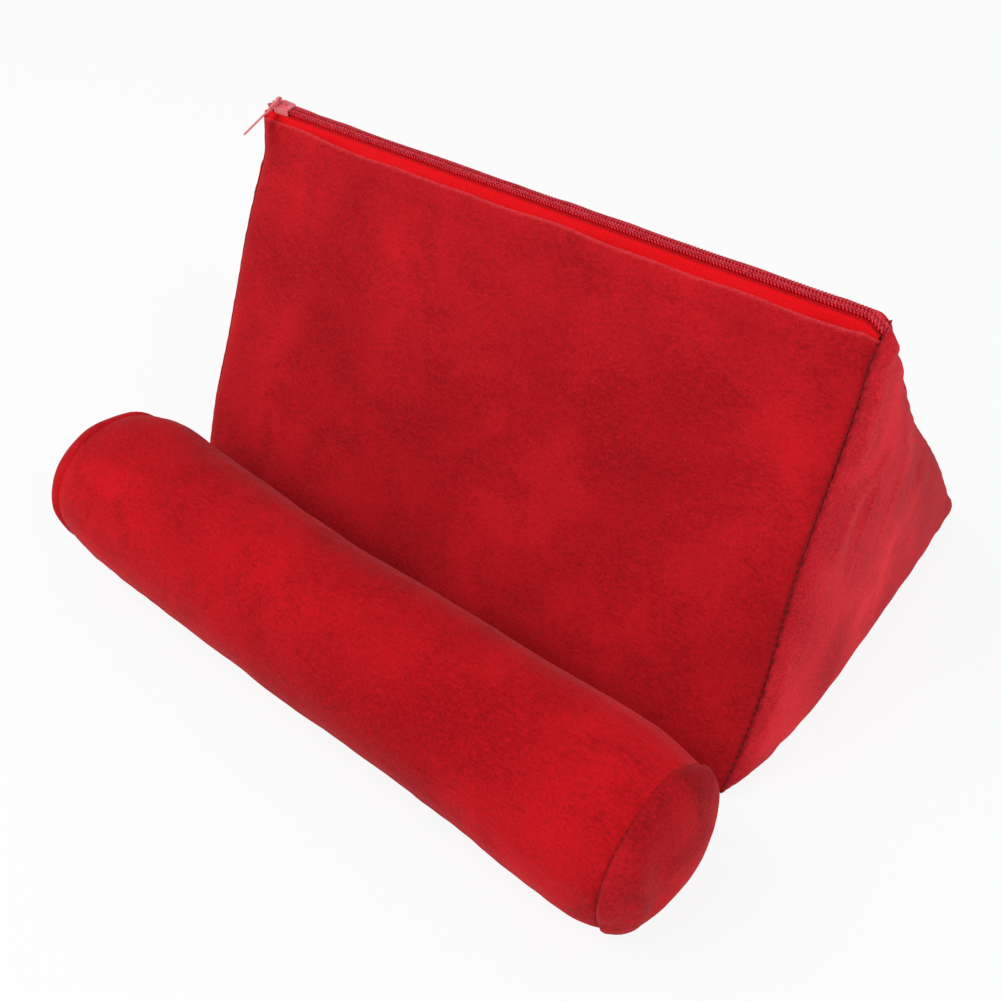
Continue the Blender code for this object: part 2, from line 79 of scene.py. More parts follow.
# The roll
ROLL_MIDDLE = np.array((0.0, -0.145, 0.03138))
ROLL_YAW = math.radians(-2.9)
ROLL_RADIUS = 0.0315
ROLL_HALF = 0.1385
LEFT_END_DOME = 0.0162
RIGHT_END_DOME = 0.0120
ROLL_END_PINCH = 0.0010
LEFT_END_PINCH = 0.0018

# Where the roll swells or sinks: the way that side faces, as shares of forwards and up,
# then height, place along the roll and reach of each swelling
ROLL_SWELLINGS = (
    (-0.74, 0.67, 3.0, -0.124, 0.022),
    (0.00, 1.00, -1.2, -0.146, 0.020),
    (-0.74, 0.67, 0.9, -0.085, 0.020),
    (-0.74, 0.67, -2.1, -0.015, 0.045),
    (-0.74, 0.67, -1.0, 0.060, 0.030),
    (-0.74, 0.67, -2.0, 0.136, 0.010),
    (0.74, -0.67, 2.2, 0.118, 0.028),
    (0.74, -0.67, 0.8, -0.030, 0.070),
    (0.74, -0.67, -1.3, -0.132, 0.013),
    (0.10, -0.99, -1.4, 0.150, 0.016),
)

# Sewing, and how strong the painted shade is along a seam that the pile hides, where 1 is the darkest
SEAM_DEPTH = 1.6 * MM
SEAM_REACH = 1.8 * MM
SOFT_REACH = 9.0 * MM
HIDDEN_SEAM_SHADE = 0.25
SEAM_INSET = 1.55 * MM
LEFT_SEAM_INSET = 2.1 * MM
RING_SHARE = 0.62
RING_GAP = 0.03 * MM
LEFT_RING_HIDDEN = 1.4 * MM
STITCH = 3.0 * MM
THREAD_SHOWN = 1.7 * MM
THREAD_RADIUS = 0.20 * MM
CLOTH = 1.2 * MM
HEM_FOLD = 1.3 * MM
HEM_WIDTH = 7.5 * MM
HEM_RISE = 0.7 * MM

# How far the cover leaves its straight faces
RIDGE_DROP = 3.2 * MM
FOOT_BULGE = 5.8 * MM
LEFT_BELLY = 3.0 * MM
RIGHT_BELLY = 0.4 * MM
RIGHT_WAIST = 0.9 * MM
LEFT_TOP_FLARE = 5.6 * MM
LEFT_EDGE_FLARE = 1.1 * MM
LEFT_EDGE_TURN = 1.5 * MM
BACK_HOLLOW = 6.6 * MM

# Where the first rows of a panel's grid lie, as distances from its seam
EDGE_PLACES = np.array((0.0, 0.12, 0.35, 0.7, 1.15, 1.7, 2.3, 3.1, 4.2, 5.6)) * MM

# Cloth is simulated on a sheet this many times larger
SIM_SCALE = 10.0
SIM_FRAMES = 20


# Shapes in numbers

def smooth(value):
    """0 below 0, 1 above 1, and a soft step between."""
    share = np.clip(value, 0.0, 1.0)
    return share * share * (3 - 2 * share)


def lattice(cells, seed):
    """A repeatable value from -1 to 1 for each whole-numbered cell."""
    mixed = np.sin(cells @ np.array((12.9898, 78.233, 37.719)) + seed * 4.1414) * 43758.5453
    return 2 * (mixed - np.floor(mixed)) - 1


def lumps(points, size, seed):
    """Smooth noise from -1 to 1 whose lumps are about size across; size is one number or one per axis."""
    spot = points / np.asarray(size)
    base = np.floor(spot)
    part = smooth(spot - base)
    total = np.zeros(points.shape[:-1])
    for corner in itertools.product((0, 1), repeat=3):
        weight = np.prod(np.where(corner, part, 1 - part), axis=-1)
        total += weight * lattice(base + corner, seed)
    return total


def places(length, step):
    """Shares from 0 to 1 along a panel, crowded towards both of its seams."""
    near = EDGE_PLACES * min(1.0, length / (4 * EDGE_PLACES[-1]))
    inner_length = length - 2 * near[-1]
    inner = np.linspace(near[-1], length - near[-1], max(3, int(round(inner_length / step)) + 1))
    return np.concatenate((near[:-1], inner, (length - near[:-1])[::-1])) / length


def sewn(gaps, depth=SEAM_DEPTH):
    """How far a panel dips where seams hold it.

    Each gap is (distance from a seam, distance along it, how strong the painted shade along the seam is).
    """
    level = 1.0
    soft = 0.0
    for distance, along, _ in gaps:
        near = np.clip(1 - distance / SEAM_REACH, 0, 1)
        level = level * np.sqrt(np.maximum(0.0, 1 - near ** 2))
        pull = np.clip(1 - distance / SOFT_REACH, 0, 1) ** 2
        tight = np.exp(-distance / (1.6 * MM))
        pucker = 0.5 + 0.5 * np.cos(2 * math.pi * along / STITCH)
        soft = soft + 0.60 * MM * pull + 0.38 * MM * tight * pucker
    return -depth * (1 - level) - soft * level


class Slope:
    """One of the wedge's sloping faces."""

    def __init__(self, foot, side):
        self.foot = foot
        self.up = (APEX - foot) / np.linalg.norm(APEX - foot)
        self.out = np.array((self.up[1], -self.up[0])) * side
        self.out3 = np.array((0.0, self.out[0], self.out[1]))
        self.corner = math.acos(abs(self.up[0]))

    def depth(self, y, z):
        return -((y - self.foot[0]) * self.out[0] + (z - self.foot[1]) * self.out[1])

    def along(self, y, z):
        return (y - self.foot[0]) * self.up[0] + (z - self.foot[1]) * self.up[1]

    def point(self, x, along, rise):
        """Points of the row frame from x, the way up the face and the height above it."""
        x, along, rise = np.broadcast_arrays(x, along, rise)
        flat = self.foot + along[..., None] * self.up + rise[..., None] * self.out
        return np.stack((x, flat[..., 0], flat[..., 1]), axis=-1)


FRONT = Slope(FRONT_FOOT, -1.0)
BACK = Slope(BACK_FOOT, 1.0)
ZIP_ALONG = np.array((math.cos(ZIP_TILT), math.sin(ZIP_TILT)))
ZIP_UP = np.array((-math.sin(ZIP_TILT), math.cos(ZIP_TILT)))


def line_crossing(first, first_way, second, second_way):
    return first + first_way * np.cross(second - first, second_way) / np.cross(first_way, second_way)


def zip_edges():
    """Both edges of the flat that the tapes lie on, which is as deep in the section as a panel is thick."""
    front = FRONT.foot - FRONT.out * PANEL
    back = BACK.foot - BACK.out * PANEL
    ridge = line_crossing(front, FRONT.up, back, BACK.up)
    spread = math.tan(math.acos(FRONT.up @ ZIP_UP)) + math.tan(math.acos(BACK.up @ ZIP_UP))
    level = ridge - ZIP_UP * (2 * ZIP_HALF_FLAT / spread)
    return line_crossing(front, FRONT.up, level, ZIP_ALONG), line_crossing(back, BACK.up, level, ZIP_ALONG)


ZIP_FRONT_EDGE, ZIP_BACK_EDGE = zip_edges()
ZIP_MIDDLE = (ZIP_FRONT_EDGE + ZIP_BACK_EDGE) / 2
FRONT_TOP = FRONT.along(*ZIP_FRONT_EDGE) - PANEL_TOP_DROP
BACK_TOP = BACK.along(*ZIP_BACK_EDGE) - PANEL_TOP_DROP


def in_zip(x, across, height):
    """Points of the row frame from x, the way across the zip and the height above its flat."""
    x, across, height = np.broadcast_arrays(x, across, height)
    flat = ZIP_MIDDLE + across[..., None] * ZIP_ALONG + height[..., None] * ZIP_UP
    return np.stack((x, flat[..., 0], flat[..., 1]), axis=-1)


def ridge_drop(x):
    """How far the zip and the cover bend down towards the right-hand seam."""
    return RIDGE_DROP * smooth((x - 0.1245) / 0.0105) ** 1.5


def low_share(z):
    """1 at the foot of the cushion, fading out half way up."""
    return 1 - smooth(z / 0.095)


def foot_bulge(y, z):
    """How far the ends' lower edges bow outwards, most of all towards the front."""
    bowed = smooth((y + 0.118) / 0.044) * (1 - 0.64 * smooth((y + 0.050) / 0.150))
    return FOOT_BULGE * bowed * low_share(z)


def ends_out(x, y, z):
    """How far the ends stand out along x: the bulge of the foot, the belly and the left edge's flare."""
    ends = smooth((np.abs(x) - 0.075) / 0.060)
    belly = smooth(z / 0.050) * (1 - smooth((z - 0.113) / 0.050)) * ends
    flare = LEFT_TOP_FLARE * smooth((z - 0.143) / 0.020) + LEFT_EDGE_FLARE * smooth((z - 0.060) / 0.050)
    flare = flare * smooth((-x - 0.085) / 0.048)
    flare = flare * smooth(1 - FRONT.depth(y, z) / 0.05)
    left_out = 0.5 * foot_bulge(y, z) * ends + LEFT_BELLY * belly + flare
    waist = smooth((z - 0.135) / 0.020) - smooth((z - 0.150) / 0.012)
    right_out = foot_bulge(y, z) * ends + RIGHT_BELLY * belly - RIGHT_WAIST * ends * waist
    return np.where(x < 0, -left_out, right_out)


def sink(moved, slope, depth):
    """Moves points inwards by depth, square to a sloping face."""
    moved[..., 1] -= depth * slope.out[0]
    moved[..., 2] -= depth * slope.out[1]


def warp(points):
    """The places where the whole cover leaves its straight faces."""
    x, y, z = points[..., 0], points[..., 1], points[..., 2]
    moved = points.copy()
    moved[..., 0] += ends_out(x, y, z)
    below_zip = 1 - smooth((z - 0.140) / 0.018)
    turned = LEFT_EDGE_TURN * np.clip(1 - (x + HALF_WIDTH) / 0.022, 0, 1) ** 2 * below_zip
    sink(moved, FRONT, turned * np.clip(1 - FRONT.depth(y, z) / 0.022, 0, 1) ** 2)
    moved[..., 2] -= ridge_drop(x) * smooth((z - 0.136) / 0.020)
    hollow = BACK_HOLLOW * np.exp(-((z - 0.110) / 0.036) ** 2) * smooth((np.abs(x) - 0.02) / 0.10)
    hollow = hollow * np.where(x < 0, 0.6, 1.0) * below_zip
    sink(moved, BACK, hollow * smooth(1 - BACK.depth(y, z) / 0.030))
    from_corner = np.sqrt((x - HALF_WIDTH) ** 2 + (y - BACK_FOOT[0]) ** 2 + z ** 2)
    nub = smooth(1 - from_corner / 0.024)
    tip = smooth(1 - from_corner / 0.011)
    moved[..., 0] += 0.8 * MM * nub - 4.0 * MM * tip
    moved[..., 1] += 2.2 * MM * nub - 5.0 * MM * tip
    moved[..., 2] += 3.2 * MM * tip
    return moved


# Meshes

def grid_faces(rows, columns, wrap):
    ring = columns if wrap else columns - 1
    row, column = np.meshgrid(np.arange(rows - 1), np.arange(ring), indexing="ij")
    after = (column + 1) % columns
    quads = (row * columns + column, row * columns + after,
             (row + 1) * columns + after, (row + 1) * columns + column)
    return np.stack(quads, axis=-1).reshape(-1, 4)


def smooth_mesh(name, vertices, faces):
    mesh = bpy.data.meshes.new(name)
    mesh.from_pydata(vertices, [], faces)
    mesh.polygons.foreach_set("use_smooth", [True] * len(faces))
    mesh.update()
    return mesh


def mesh_from_grid(name, points, outward, wrap=False, pole=None):
    """A sheet whose normals follow outward, which is one direction per point."""
    rows, columns = points.shape[:2]
    faces = grid_faces(rows, columns, wrap)
    flat = points.reshape(-1, 3)
    middle = faces[len(faces) // 2]
    turn = np.cross(flat[middle[1]] - flat[middle[0]], flat[middle[2]] - flat[middle[1]])
    flipped = np.dot(turn, outward.reshape(-1, 3)[middle[0]]) < 0
    polygons = faces.tolist()
    vertices = flat.tolist()
    if pole is not None:
        vertices.append(list(pole))
        last = (rows - 1) * columns
        polygons += [[last + i, last + (i + 1) % columns, len(vertices) - 1] for i in range(columns)]
    if flipped:
        polygons = [face[::-1] for face in polygons]
    return smooth_mesh(name, vertices, polygons)


def set_tones(mesh, **tones):
    """Keeps one number per point of the grid for the materials to read."""
    for name, values in tones.items():
        layer = mesh.attributes.new(name, "FLOAT", "POINT")
        flat = np.zeros(len(mesh.vertices))
        flat[:values.size] = values.reshape(-1)
        layer.data.foreach_set("value", flat)


def seam_shade(gaps):
    """Painted shade on the pile: darkest in a seam's groove at each stitch, and 0 away from the seams."""
    light = 1.0
    for distance, along, dark in gaps:
        spot = np.stack(np.broadcast_arrays(along + 0 * distance, 0.0, dark), axis=-1)
        wandering = 0.75 + 0.25 * lumps(spot, (0.007, 1.0, 1.0), 91.0)
        dots = (0.62 + 0.38 * np.cos(2 * math.pi * along / STITCH)) * wandering
        core = 0.80 * dots * np.exp(-(distance / (0.75 * MM)) ** 2)
        light = light * (1 - dark * (core + 0.16 * np.exp(-distance / (2.4 * MM))))
    return 1 - light


def add_object(name, mesh):
    item = bpy.data.objects.new(name, mesh)
    bpy.context.scene.collection.objects.link(item)
    return item


def solid_sheet(item, thickness):
    """Gives a sheet its thickness, inwards, and keeps the result as its mesh."""
    shell = item.modifiers.new("cloth_thickness", "SOLIDIFY")
    shell.thickness = thickness
    shell.offset = -1.0
    shell.use_rim = True
    bpy.context.view_layer.update()
    evaluated = item.evaluated_get(bpy.context.evaluated_depsgraph_get())
    result = bpy.data.meshes.new_from_object(evaluated)
    item.modifiers.clear()
    old = item.data
    for rim in result.polygons[2 * len(old.polygons):]:
        rim.use_smooth = False
    item.data = result
    bpy.data.meshes.remove(old)


def stand_in(item, node):
    """Makes a piece stand for one of the solids, which it hides, and ride with the cushion."""
    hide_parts(node)
    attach(item, "cushion")


def cover_piece(name, node, mesh, material, fill, **tones):
    """Makes a padded piece of the cover from its outer surface."""
    mesh.materials.append(material)
    set_tones(mesh, **tones)
    item = add_object(name, mesh)
    solid_sheet(item, CLOTH)
    stand_in(item, node)
    return item


def cubic_weights(places_at, count, wrap):
    """Rows of weights that read a smooth value between evenly spaced samples."""
    last = count if wrap else count - 1
    spot = np.asarray(places_at) * last
    base = np.floor(spot).astype(int)
    if not wrap:
        base = np.clip(base, 0, count - 2)
    t = spot - base
    weights = (
        -0.5 * t ** 3 + t ** 2 - 0.5 * t, 1.5 * t ** 3 - 2.5 * t ** 2 + 1,
        -1.5 * t ** 3 + 2 * t ** 2 + 0.5 * t, 0.5 * t ** 3 - 0.5 * t ** 2,
    )
    table = np.zeros((len(spot), count))
    for offset, weight in zip((-1, 0, 1, 2), weights):
        index = base + offset
        index = index % count if wrap else np.clip(index, 0, count - 1)
        np.add.at(table, (np.arange(len(spot)), index), weight)
    return table


def swell(points, outward, pinned, wrap, pressure, slack, cap):
    """Runs a cloth simulation on a coarse sheet and gives back how far each point rises, at most cap."""
    rows, columns = points.shape[:2]
    mesh = mesh_from_grid("simulated", points * SIM_SCALE, outward, wrap)
    item = add_object("simulated", mesh)
    held = item.vertex_groups.new(name="held")
    held.add(np.flatnonzero(pinned.reshape(-1)).tolist(), 1.0, "REPLACE")
    cloth = item.modifiers.new("cloth", "CLOTH")
    settings = cloth.settings
    settings.quality = 6
    settings.mass = 0.05
    settings.tension_stiffness = 18
    settings.compression_stiffness = 12
    settings.shear_stiffness = 6
    settings.bending_stiffness = 0.4
    settings.vertex_group_mass = "held"
    settings.use_pressure = True
    settings.uniform_pressure_force = pressure
    settings.shrink_min = -slack
    settings.effector_weights.gravity = 0
    cloth.collision_settings.use_collision = False
    cloth.point_cache.frame_end = SIM_FRAMES
    for step in range(1, SIM_FRAMES + 1):
        bpy.context.scene.frame_set(step)
    evaluated = item.evaluated_get(bpy.context.evaluated_depsgraph_get())
    moved = np.zeros(rows * columns * 3)
    evaluated.data.vertices.foreach_get("co", moved)
    bpy.data.objects.remove(item)
    bpy.data.meshes.remove(mesh)
    bpy.context.scene.frame_set(1)
    rise = np.sum((moved.reshape(points.shape) / SIM_SCALE - points) * outward, axis=-1)
    return cap * np.tanh(rise / cap)


# Materials

def srgb(red, green, blue):
    def linear(value):
        share = value / 255
        return share / 12.92 if share <= 0.04045 else ((share + 0.055) / 1.055) ** 2.4
    return (linear(red), linear(green), linear(blue), 1.0)


def add_node(tree, kind, inputs=None, **settings):
    item = tree.nodes.new(kind)
    for key, value in settings.items():
        setattr(item, key, value)
    for key, value in (inputs or {}).items():
        if isinstance(value, bpy.types.NodeSocket):
            tree.links.new(value, item.inputs[key])
        else:
            item.inputs[key].default_value = value
    return item


def new_material(name, **constants):
    material = bpy.data.materials.new(name)
    material.use_nodes = True
    tree = material.node_tree
    shader = tree.nodes["Principled BSDF"]
    for key, value in constants.items():
        shader.inputs[key.replace("_", " ")].default_value = value
    return material, tree, shader


def object_place(tree, scale=(1.0, 1.0, 1.0), turn=(0.0, 0.0, 0.0)):
    source = add_node(tree, "ShaderNodeTexCoord").outputs["Object"]
    mapping = add_node(tree, "ShaderNodeMapping", {"Vector": source, "Scale": scale, "Rotation": turn})
    return mapping.outputs["Vector"]


def noise_value(tree, place, scale, detail=2.0, rough=0.5, distortion=0.0):
    return add_node(tree, "ShaderNodeTexNoise", {
        "Vector": place, "Scale": scale, "Detail": detail, "Roughness": rough, "Distortion": distortion,
    }).outputs["Fac"]


def remap(tree, value, low, high, out_low=0.0, out_high=1.0):
    return add_node(tree, "ShaderNodeMapRange", {
        "Value": value, "From Min": low, "From Max": high, "To Min": out_low, "To Max": out_high,
    }).outputs["Result"]


def calculated(tree, operation, first, second):
    return add_node(tree, "ShaderNodeMath", {0: first, 1: second}, operation=operation).outputs[0]


def mix_colors(tree, factor, first, second):
    item = add_node(tree, "ShaderNodeMix", data_type="RGBA")
    for index, value in ((0, factor), (6, first), (7, second)):
        if isinstance(value, bpy.types.NodeSocket):
            tree.links.new(value, item.inputs[index])
        else:
            item.inputs[index].default_value = value
    return item.outputs[2]


def bumped(tree, shader, height, strength, distance, below=None):
    inputs = {"Height": height, "Strength": strength, "Distance": distance}
    if below is not None:
        inputs["Normal"] = below
    bump = add_node(tree, "ShaderNodeBump", inputs)
    tree.links.new(bump.outputs["Normal"], shader.inputs["Normal"])
    return bump.outputs["Normal"]


# Painted highlight: the paler colour laid along folded edges and fold crests, where light catches the pile.
FOLD_HIGHLIGHT = srgb(222, 58, 66)
# Painted shade: the colour the pile takes in the seams' grooves and puckers, where shadow falls.
SEAM_SHADE_COLOR = srgb(88, 4, 10)


def plush(name, bright, dark, deep, sheen, seed):
    """Short-pile plush: brushed patches, strokes of pile that lies the other way, and fine grain."""
    material, tree, shader = new_material(
        name, Roughness=0.95, Specular_IOR_Level=0.10, Sheen_Weight=sheen, Sheen_Roughness=0.40,
        Sheen_Tint=(1.0, 0.30, 0.34, 1.0))
    shift = (seed, seed * 0.7, seed * 0.3)
    place = add_node(tree, "ShaderNodeVectorMath", {0: object_place(tree), 1: shift}).outputs[0]
    wide = noise_value(tree, place, 15.0, 2.0, 0.5, 0.3)
    middle = noise_value(tree, place, 44.0, 3.0, 0.6, 0.5)
    combed = object_place(tree, (1.0, 1.9, 1.9), (0.0, math.radians(20), 0.0))
    strokes = noise_value(tree, combed, 460.0, 4.0, 0.72, 0.4)
    grain = noise_value(tree, object_place(tree), 1300.0, 2.0, 0.7)
    color = mix_colors(tree, remap(tree, wide, 0.34, 0.66), dark, bright)
    color = mix_colors(tree, remap(tree, middle, 0.44, 0.70, 0.0, 0.60), color, dark)
    turned = remap(tree, middle, 0.36, 0.62, 0.35, 1.0)
    stroke = calculated(tree, "MULTIPLY", turned, remap(tree, strokes, 0.44, 0.66, 0.0, 0.50))
    color = mix_colors(tree, stroke, color, deep)
    color = mix_colors(tree, remap(tree, strokes, 0.46, 0.30, 0.0, 0.50), color, bright)
    color = mix_colors(tree, remap(tree, grain, 0.50, 0.74, 0.0, 0.40), color, deep)
    color = mix_colors(tree, remap(tree, grain, 0.48, 0.28, 0.0, 0.45), color, bright)
    # Painted highlight along folded edges and fold crests, read from the mesh and broken up by the strokes.
    fold = add_node(tree, "ShaderNodeAttribute", attribute_name="fold_light").outputs["Fac"]
    fold = calculated(tree, "MULTIPLY", fold, remap(tree, strokes, 0.62, 0.42, 0.35, 0.95))
    color = mix_colors(tree, fold, color, FOLD_HIGHLIGHT)
    # Painted shade along the seams, read from the mesh.
    seam = add_node(tree, "ShaderNodeAttribute", attribute_name="seam_shade").outputs["Fac"]
    color = mix_colors(tree, seam, color, SEAM_SHADE_COLOR)
    tree.links.new(color, shader.inputs["Base Color"])
    fine = bumped(tree, shader, grain, 0.45, 0.0003)
    bumped(tree, shader, strokes, 0.40, 0.0005, fine)
    return material


def tape_cloth(name, bright, dark):
    """Woven zip tape: a fine diagonal twill."""
    material, tree, shader = new_material(name, Roughness=0.8, Specular_IOR_Level=0.15)
    twill = add_node(tree, "ShaderNodeTexWave", {
        "Vector": object_place(tree), "Scale": 440.0, "Distortion": 1.4, "Detail": 1.5, "Detail Scale": 2.0,
    }, wave_type="BANDS", bands_direction="DIAGONAL").outputs["Fac"]
    mottled = noise_value(tree, object_place(tree), 1200.0, 2.0)
    color = mix_colors(tree, remap(tree, twill, 0.1, 0.9, 0.0, 0.60), bright, dark)
    color = mix_colors(tree, remap(tree, mottled, 0.45, 0.7, 0.0, 0.40), color, dark)
    tree.links.new(color, shader.inputs["Base Color"])
    fine = bumped(tree, shader, twill, 0.5, 0.00025)
    bumped(tree, shader, mottled, 0.3, 0.0002, fine)
    return material


def thread(name, bright, dark):
    """Twisted sewing thread or cord."""
    material, tree, shader = new_material(name, Roughness=0.6, Specular_IOR_Level=0.3)
    strands = add_node(tree, "ShaderNodeTexWave", {
        "Vector": object_place(tree, turn=(0.3, 0.5, 0.7)), "Scale": 1500.0, "Distortion": 2.0,
    }).outputs["Fac"]
    mottled = noise_value(tree, object_place(tree), 700.0, 2.0)
    color = mix_colors(tree, remap(tree, mottled, 0.35, 0.65), dark, bright)
    tree.links.new(color, shader.inputs["Base Color"])
    bumped(tree, shader, strands, 0.4, 0.0001)
    return material


def nylon(name, bright, dark):
    """Smooth filament, a little uneven in colour and gloss."""
    material, tree, shader = new_material(name, Specular_IOR_Level=0.4)
    mottled = noise_value(tree, object_place(tree), 500.0, 2.0)
    color = mix_colors(tree, remap(tree, mottled, 0.35, 0.65), dark, bright)
    tree.links.new(color, shader.inputs["Base Color"])
    tree.links.new(remap(tree, mottled, 0.3, 0.7, 0.35, 0.55), shader.inputs["Roughness"])
    bumped(tree, shader, mottled, 0.2, 0.0001)
    return material


def painted_metal(name, paint, worn):
    """Satin paint, paler in patches and along its edges."""
    material, tree, shader = new_material(name, Specular_IOR_Level=0.5, Coat_Weight=0.15, Coat_Roughness=0.25)
    patches = noise_value(tree, object_place(tree), 380.0, 4.0, 0.6)
    edges = add_node(tree, "ShaderNodeNewGeometry").outputs["Pointiness"]
    rubbed = remap(tree, edges, 0.52, 0.60, 0.0, 0.6)
    color = mix_colors(tree, remap(tree, patches, 0.45, 0.75, 0.0, 0.5), paint, worn)
    tree.links.new(mix_colors(tree, rubbed, color, worn), shader.inputs["Base Color"])
    tree.links.new(remap(tree, patches, 0.3, 0.7, 0.3, 0.5), shader.inputs["Roughness"])
    bumped(tree, shader, patches, 0.15, 0.0002)
    return material


def foam(name, color, pore_shade):
    """Open-cell foam whose pores are darker: painted shade in the open cells."""
    material, tree, shader = new_material(name, Roughness=0.95, Specular_IOR_Level=0.1)
    cells = add_node(tree, "ShaderNodeTexVoronoi", {
        "Vector": object_place(tree), "Scale": 900.0}).outputs["Distance"]
    tree.links.new(mix_colors(tree, remap(tree, cells, 0.0, 0.5), pore_shade, color), shader.inputs["Base Color"])
    bumped(tree, shader, cells, 0.6, 0.0005)
    return material


PANEL_PLUSH = plush("front_plush", srgb(206, 24, 34), srgb(168, 16, 25), srgb(118, 7, 13), 0.22, 0.0)
# The ends get a brighter copy of the plush: painted light, standing in for the stronger light and sheen on
# them.
LIT_SIDE_PLUSH = plush("lit_side_plush", srgb(244, 48, 60), srgb(186, 24, 36), srgb(134, 13, 22), 0.22, 1.7)
ROLL_PLUSH = plush("roll_plush", srgb(208, 18, 28), srgb(168, 11, 20), srgb(118, 6, 12), 0.16, 3.1)
DISC_PLUSH = plush("disc_plush", srgb(206, 25, 35), srgb(140, 12, 21), srgb(104, 8, 14), 0.18, 5.3)
TAPE_CLOTH = tape_cloth("tape_cloth", srgb(240, 2, 16), srgb(200, 1, 10))
# A dark thread beside the coil: the tape's sewn line, darkened to stand in for the coil's shadow on the tape
# (painted shade).
TAPE_THREAD_AND_SHADE = thread("tape_thread_and_shade", srgb(150, 6, 18), srgb(116, 4, 12))
# Seam thread, darker than the plush so that the stitches also stand in for the shade in the seams' puckers
# (painted shade).
SEAM_THREAD_AND_SHADE = thread("seam_thread_and_shade", srgb(112, 8, 16), srgb(72, 4, 10))
COIL_NYLON = nylon("coil_nylon", srgb(246, 34, 60), srgb(212, 22, 44))
COIL_CORD = thread("coil_cord", srgb(226, 22, 44), srgb(190, 14, 32))
COIL_THREAD = thread("coil_thread", srgb(255, 92, 108), srgb(232, 44, 64))
SLIDER_PAINT = painted_metal("slider_paint", srgb(222, 88, 98), srgb(236, 140, 142))
FOAM = foam("open_foam", srgb(232, 226, 206), srgb(196, 186, 160))


# The cover's panels

def dress(name, node, panel, counts, shares, sim, material=PANEL_PLUSH, wrap=False, bend=warp, fill=0.8):
    """Makes one padded panel: simulated swell, seams and lumps on a fine grid, then its thickness."""
    rows, columns = counts
    coarse_up = np.linspace(0, 1, rows)
    coarse_along = np.linspace(0, 1, columns, endpoint=not wrap)
    points, outward, gaps, _, _ = panel(coarse_up, coarse_along)
    pinned = np.zeros((rows, columns), bool)
    pinned[0] = pinned[-1] = True
    if not wrap:
        pinned[:, 0] = pinned[:, -1] = True
    outward = np.broadcast_to(outward, points.shape)
    risen = swell(points, outward, pinned, wrap, **sim)
    up, along = shares
    points, outward, gaps, extra, fold = panel(up, along)
    outward = np.broadcast_to(outward, points.shape)
    rise = cubic_weights(up, rows, False) @ risen @ cubic_weights(along, columns, wrap).T
    rise = rise + sewn(gaps) + extra
    points = points + outward * rise[..., None]
    mesh = mesh_from_grid(name, bend(points), outward, wrap)
    return cover_piece(name, node, mesh, material, fill, seam_shade=seam_shade(gaps), fold_light=fold)


def undulation(points, seed, tall=0.35 * MM):
    """The slight unevenness of plush over foam."""
    return tall * lumps(points, 0.034, seed) + 0.12 * MM * lumps(points, 0.009, seed + 5)


def mitre(corner, depth=SEAM_DEPTH):
    return depth / math.tan(corner / 2)


def hem_top(x, straight):
    """Where a panel's folded edge runs: it leaves a strip of tape in sight, and is a little wavy."""
    bow = HEM_SHOWN * smooth((HEM_CLOSES - x) / 0.012) - HEM_LEFT_RISE * smooth((-x - 0.095) / 0.035)
    wave = 0.5 * MM * np.sin(x / 0.0135 + 0.7) * np.sin(x / 0.047 + 1.1) + 0.2 * MM * np.sin(x / 0.0062)
    return straight - bow + wave * smooth((0.132 - np.abs(x)) / 0.02)


def sloping_panel(slope, straight, seed, right_shade):
    """A sloping face of the cover; its last argument is how strong the painted shade along its right-hand
    seam is.
    """
    half = HALF_WIDTH - SEAM_DEPTH
    low = mitre(slope.corner)

    def panel(up, along):
        x = -half + 2 * half * along[None, :]
        top = hem_top(x, straight)
        reach = low + (top - low) * up[:, None]
        points = slope.point(x, reach, 0.0 * reach)
        below = top - reach
        gaps = (
            (x + half + 0 * reach, reach, HIDDEN_SEAM_SHADE), (half - x + 0 * reach, reach, right_shade),
            (reach - low, x + 0 * reach, HIDDEN_SEAM_SHADE),
        )
        fold = np.clip(1 - below / HEM_FOLD, 0, 1)
        hem = HEM_RISE * smooth(1 - (below - HEM_WIDTH) / (2.5 * MM))
        hem = hem - 1.5 * MM * (1 - np.sqrt(1 - fold ** 2))
        ripple = 0.25 * MM * np.sin(x / 0.0052 + 2 * np.sin(x / 0.021)) * np.exp(-below / (6 * MM))
        side_fade = smooth(np.minimum(gaps[0][0], gaps[1][0]) / 0.006)
        extra = (hem + ripple) * side_fade + undulation(points, seed)
        # The last value is a painted highlight along the hem's folded edge.
        return points, slope.out3, gaps, extra, np.exp(-(below / (0.8 * MM)) ** 2)
    return panel


WIDE = 2 * (HALF_WIDTH - SEAM_DEPTH)
dress(
    "front_cover", "front_panel", sloping_panel(FRONT, FRONT_TOP, 3.0, 1.0), (46, 66),
    (places(0.172, 1.5 * MM), places(WIDE, 1.5 * MM)),
    {"pressure": 4.0, "slack": 0.006, "cap": 1.3 * MM}, fill=0.9)
dress(
    "back_cover", "back_panel", sloping_panel(BACK, BACK_TOP, 11.0, HIDDEN_SEAM_SHADE), (50, 62),
    (places(0.203, 2.0 * MM), places(WIDE, 2.0 * MM)),
    {"pressure": 4.0, "slack": 0.008, "cap": 1.8 * MM}, fill=0.9)


